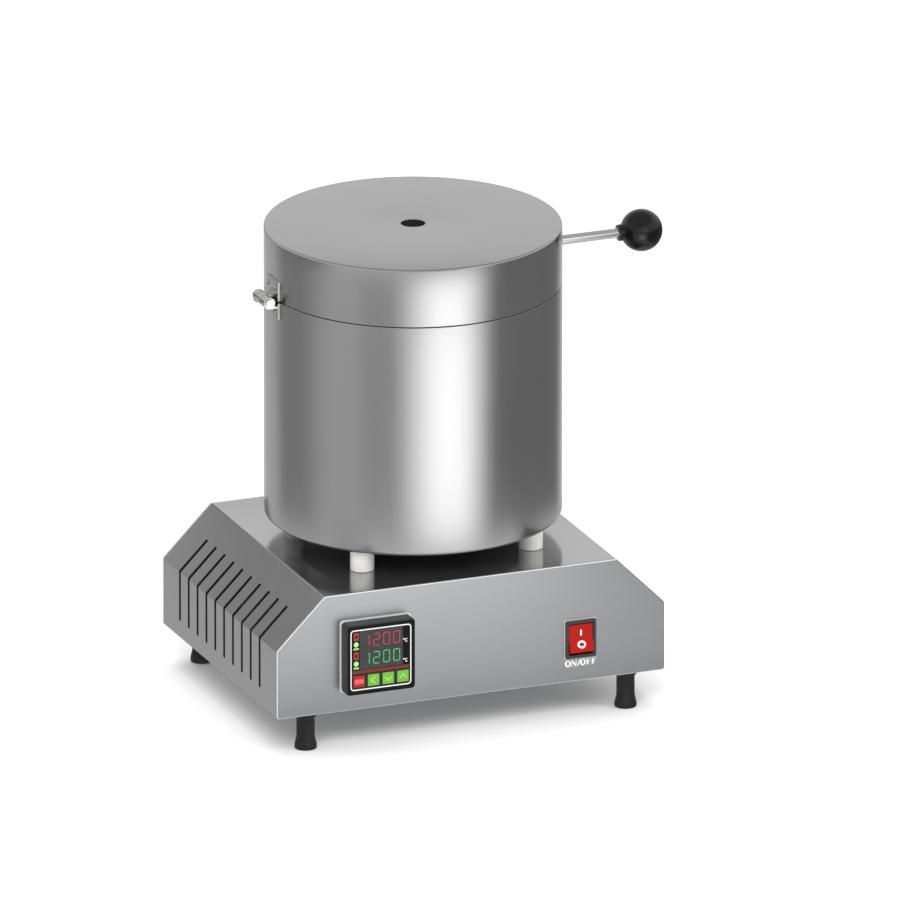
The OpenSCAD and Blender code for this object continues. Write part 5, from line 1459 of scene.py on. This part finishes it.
@dataclass
class Studio:
    """Pale floor, soft lights, a striped reflection tent and the camera."""

    lens: float = 1600.0
    distance: float = 26.106
    aim: Triple = (0.04053, 0.03679, 0.14392)
    azimuth: float = -21.7
    elevation: float = 18.8
    tent_r: float = 0.43
    tent_h: float = 0.56
    tent_steps: int = 96
    card_half: float = 0.45
    card_level: float = 0.4
    floor_half: float = 30.0
    air_level: float = 0.85
    backdrop_extra: float = 0.25

    # Upright strips of the reflection tent: left and right edge in degrees to the right of the camera,
    # and brightness. Pale wall behind, grey cloth at the sides, two black flags, one softbox at the right
    TENT = ((-180, -156, 0.71), (-146, -126, 0.52), (-106, -90, 0.28), (-58, -42, 0.5), (-30, -18, 0.4),
            (22.5, 29, 1.85), (63, 98, 0.2), (106, 130, 0.19), (158, 180, 0.71))
    # Dark skirt under the even top of the tent: the polished cover shows it, the drum doesn't
    SKIRT = ((-180, -162, 0.93), (-150, -72, 0.15), (-50, 40, 0.6), (66, 134, 0.17), (160, 180, 0.93))
    # Even light above, with one brighter card that the lever rod shows
    TOP = ((-180, 28, 0.7), (36, 50, 1.05), (58, 180, 0.7))
    # Heights between which the skirt, and then the top, takes over
    SKIRT_Z, TOP_Z = (0.215, 0.235), (0.3, 0.33)
    # Brightness of the ground from front to back, its reach, and where the tent's stripes take over
    GROUND = ((0.12, 0.62), (0.19, 0.69), (0.26, 0.84), (0.33, 0.5), (0.39, 0.45), (0.46, 0.56))
    GROUND_Y, GROUND_R = (-0.5, 0.5), (0.37, 0.41)
    GROUND_Z = 0.0004
    # Name, place, width and power of each lamp, and the point that all are aimed at
    LAMPS = (("key_softbox", (-1.2, -2.2, 2.4), 1.6, 55.0), ("fill_softbox", (2.2, -1.6, 1.6), 1.6, 22.0),
             ("top_softbox", (0.2, 0.8, 2.8), 2.0, 40.0))
    LAMP_AIM = (0.0, 0.0, 0.15)

    def point(self, thing: Object, place: Vector, way: Vector) -> None:
        """Puts a camera or lamp at a place and points it along a way."""
        thing.location = place
        thing.rotation_mode = "QUATERNION"
        thing.rotation_quaternion = way.to_track_quat("-Z", "Y")

    def camera(self) -> None:
        """Sets the camera at the photograph's angle."""
        data = bpy.data.cameras.new("studio_camera")
        data.lens = self.lens
        data.sensor_width = 36.0
        data.clip_start, data.clip_end = 1.0, 90.0
        camera = new_object("studio_camera", data)
        a, e = radians(self.azimuth), radians(self.elevation)
        back = Vector((sin(a) * cos(e), -cos(a) * cos(e), sin(e)))
        self.point(camera, Vector(self.aim) + back * self.distance, -back)
        bpy.context.scene.camera = camera

    def lamps(self) -> None:
        """Adds the square soft lights, which neither the camera nor a reflection sees."""
        for name, place, size, power in self.LAMPS:
            data = bpy.data.lights.new(name, "AREA")
            data.shape = "SQUARE"
            data.size = size
            data.energy = power
            lamp = new_object(name, data)
            self.point(lamp, Vector(place), Vector(self.LAMP_AIM) - Vector(place))
            lamp.visible_camera = False
            lamp.visible_glossy = False

    def sheet(self, name: str, points: Sequence[Triple], faces: Sequence[Sequence[int]],
              material: Material) -> Object:
        """Sets up a thin piece of the studio.

        Args:
            name: Name of the piece.
            points: Its corners.
            faces: Corner numbers of each face.
            material: Its material.

        Returns:
            The piece.
        """
        mesh = bpy.data.meshes.new(name)
        mesh.from_pydata(points, [], faces)
        mesh.materials.append(material)
        thing = new_object(name, mesh)
        return thing

    def square(self, half: float, z: float) -> list[Triple]:
        """Returns the corners of a level square that faces up."""
        return [(-half, -half, z), (half, -half, z), (half, half, z), (-half, half, z)]

    def floor(self) -> None:
        """Lays the paper floor."""
        pale = new_material("paper_floor")
        shader = add_node(pale.node_tree, "ShaderNodeBsdfPrincipled", {
            "Base Color": linear("#f2f2f2"), "Roughness": 0.9})
        add_node(pale.node_tree, "ShaderNodeOutputMaterial", {"Surface": shader.outputs["BSDF"]})
        self.sheet("studio_floor", self.square(self.floor_half, 0), [(0, 1, 2, 3)], pale)

    def tent_material(self) -> Material:
        """Builds the striped glow of the tent's wall."""
        glow = Glow("reflection_tent", self.azimuth)
        tent, skirt, top = (glow.striped(strips) for strips in (self.TENT, self.SKIRT, self.TOP))
        lower = glow.blend(glow.parts["Z"], self.SKIRT_Z, tent, skirt)
        color = glow.blend(glow.parts["Z"], self.TOP_Z, lower, top)
        return glow.close({"Color": color, "Strength": RAMP_GAIN})

    def ground_material(self) -> Material:
        """Builds the glow of the ground that metal reflects: darker from just before the furnace on."""
        glow = Glow("reflection_ground", self.azimuth)
        deep = add_node(glow.tree, "ShaderNodeMapRange", {
            "Value": glow.parts["Y"], "From Min": self.GROUND_Y[0], "From Max": self.GROUND_Y[1]})
        near = glow.ramp(deep.outputs["Result"], self.GROUND)
        flat = add_node(glow.tree, "ShaderNodeCombineXYZ", {"X": glow.parts["X"], "Y": glow.parts["Y"]})
        away = add_node(glow.tree, "ShaderNodeVectorMath", {0: flat.outputs[0]}, operation="LENGTH")
        color = glow.blend(away.outputs["Value"], self.GROUND_R, near, glow.striped(self.TENT))
        return glow.close({"Color": color, "Strength": RAMP_GAIN})

    def tent(self) -> None:
        """Sets up the tent's wall, the ground inside it and the card above, seen by reflections alone."""
        count = self.tent_steps
        ring = ellipse(2 * self.tent_r, 2 * self.tent_r, count)
        wall = [(x, y, z) for z in (0.0, self.tent_h) for x, y in ring]
        card_glow = Glow("card_above", self.azimuth).close({"Strength": self.card_level})
        for name, points, faces, material in (
                ("reflection_tent", wall, band(count, 0, count), self.tent_material()),
                ("reflection_ground", [(x, y, self.GROUND_Z) for x, y in ring], [tuple(range(count))],
                 self.ground_material()),
                ("card_above", self.square(self.card_half, self.tent_h)[::-1], [(0, 1, 2, 3)], card_glow)):
            card = self.sheet(name, points, faces, material)
            for ray in ("camera", "diffuse", "shadow", "transmission", "volume_scatter"):
                setattr(card, "visible_" + ray, False)

    def air(self) -> None:
        """Sets the even light all round, a little brighter where the camera looks straight at it."""
        world = bpy.data.worlds.new("studio_air")
        world.use_nodes = True
        tree = world.node_tree
        path = add_node(tree, "ShaderNodeLightPath")
        level = add_node(tree, "ShaderNodeMath", {
            0: path.outputs["Is Camera Ray"], 1: self.backdrop_extra, 2: self.air_level},
            operation="MULTIPLY_ADD")
        tree.nodes["Background"].inputs["Color"].default_value = (1, 1, 1, 1)
        tree.links.new(level.outputs[0], tree.nodes["Background"].inputs["Strength"])
        bpy.context.scene.world = world

    def build(self) -> None:
        """Builds the studio."""
        self.camera()
        self.floor()
        self.tent()
        self.air()
        self.lamps()
        bpy.context.scene.view_settings.view_transform = "Standard"
        bpy.context.scene.view_settings.look = "None"


def dress_nodes() -> None:
    """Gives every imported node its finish."""
    for name, node in NODES.items():
        node.data.materials.clear()
        node.data.materials.append(CAD_FINISHES[name].build())


def main() -> None:
    """Builds the studio and every piece of the furnace."""
    logging.basicConfig(level=logging.INFO, format="%(message)s")
    Studio().build()
    dress_nodes()
    for part in (Housing(), Drum(), Lever(), Hinge(), Controller(), PowerSwitch(), Inside()):
        part.build()
        LOG.info("%s done", type(part).__name__)


if __name__ == "__main__":
    main()
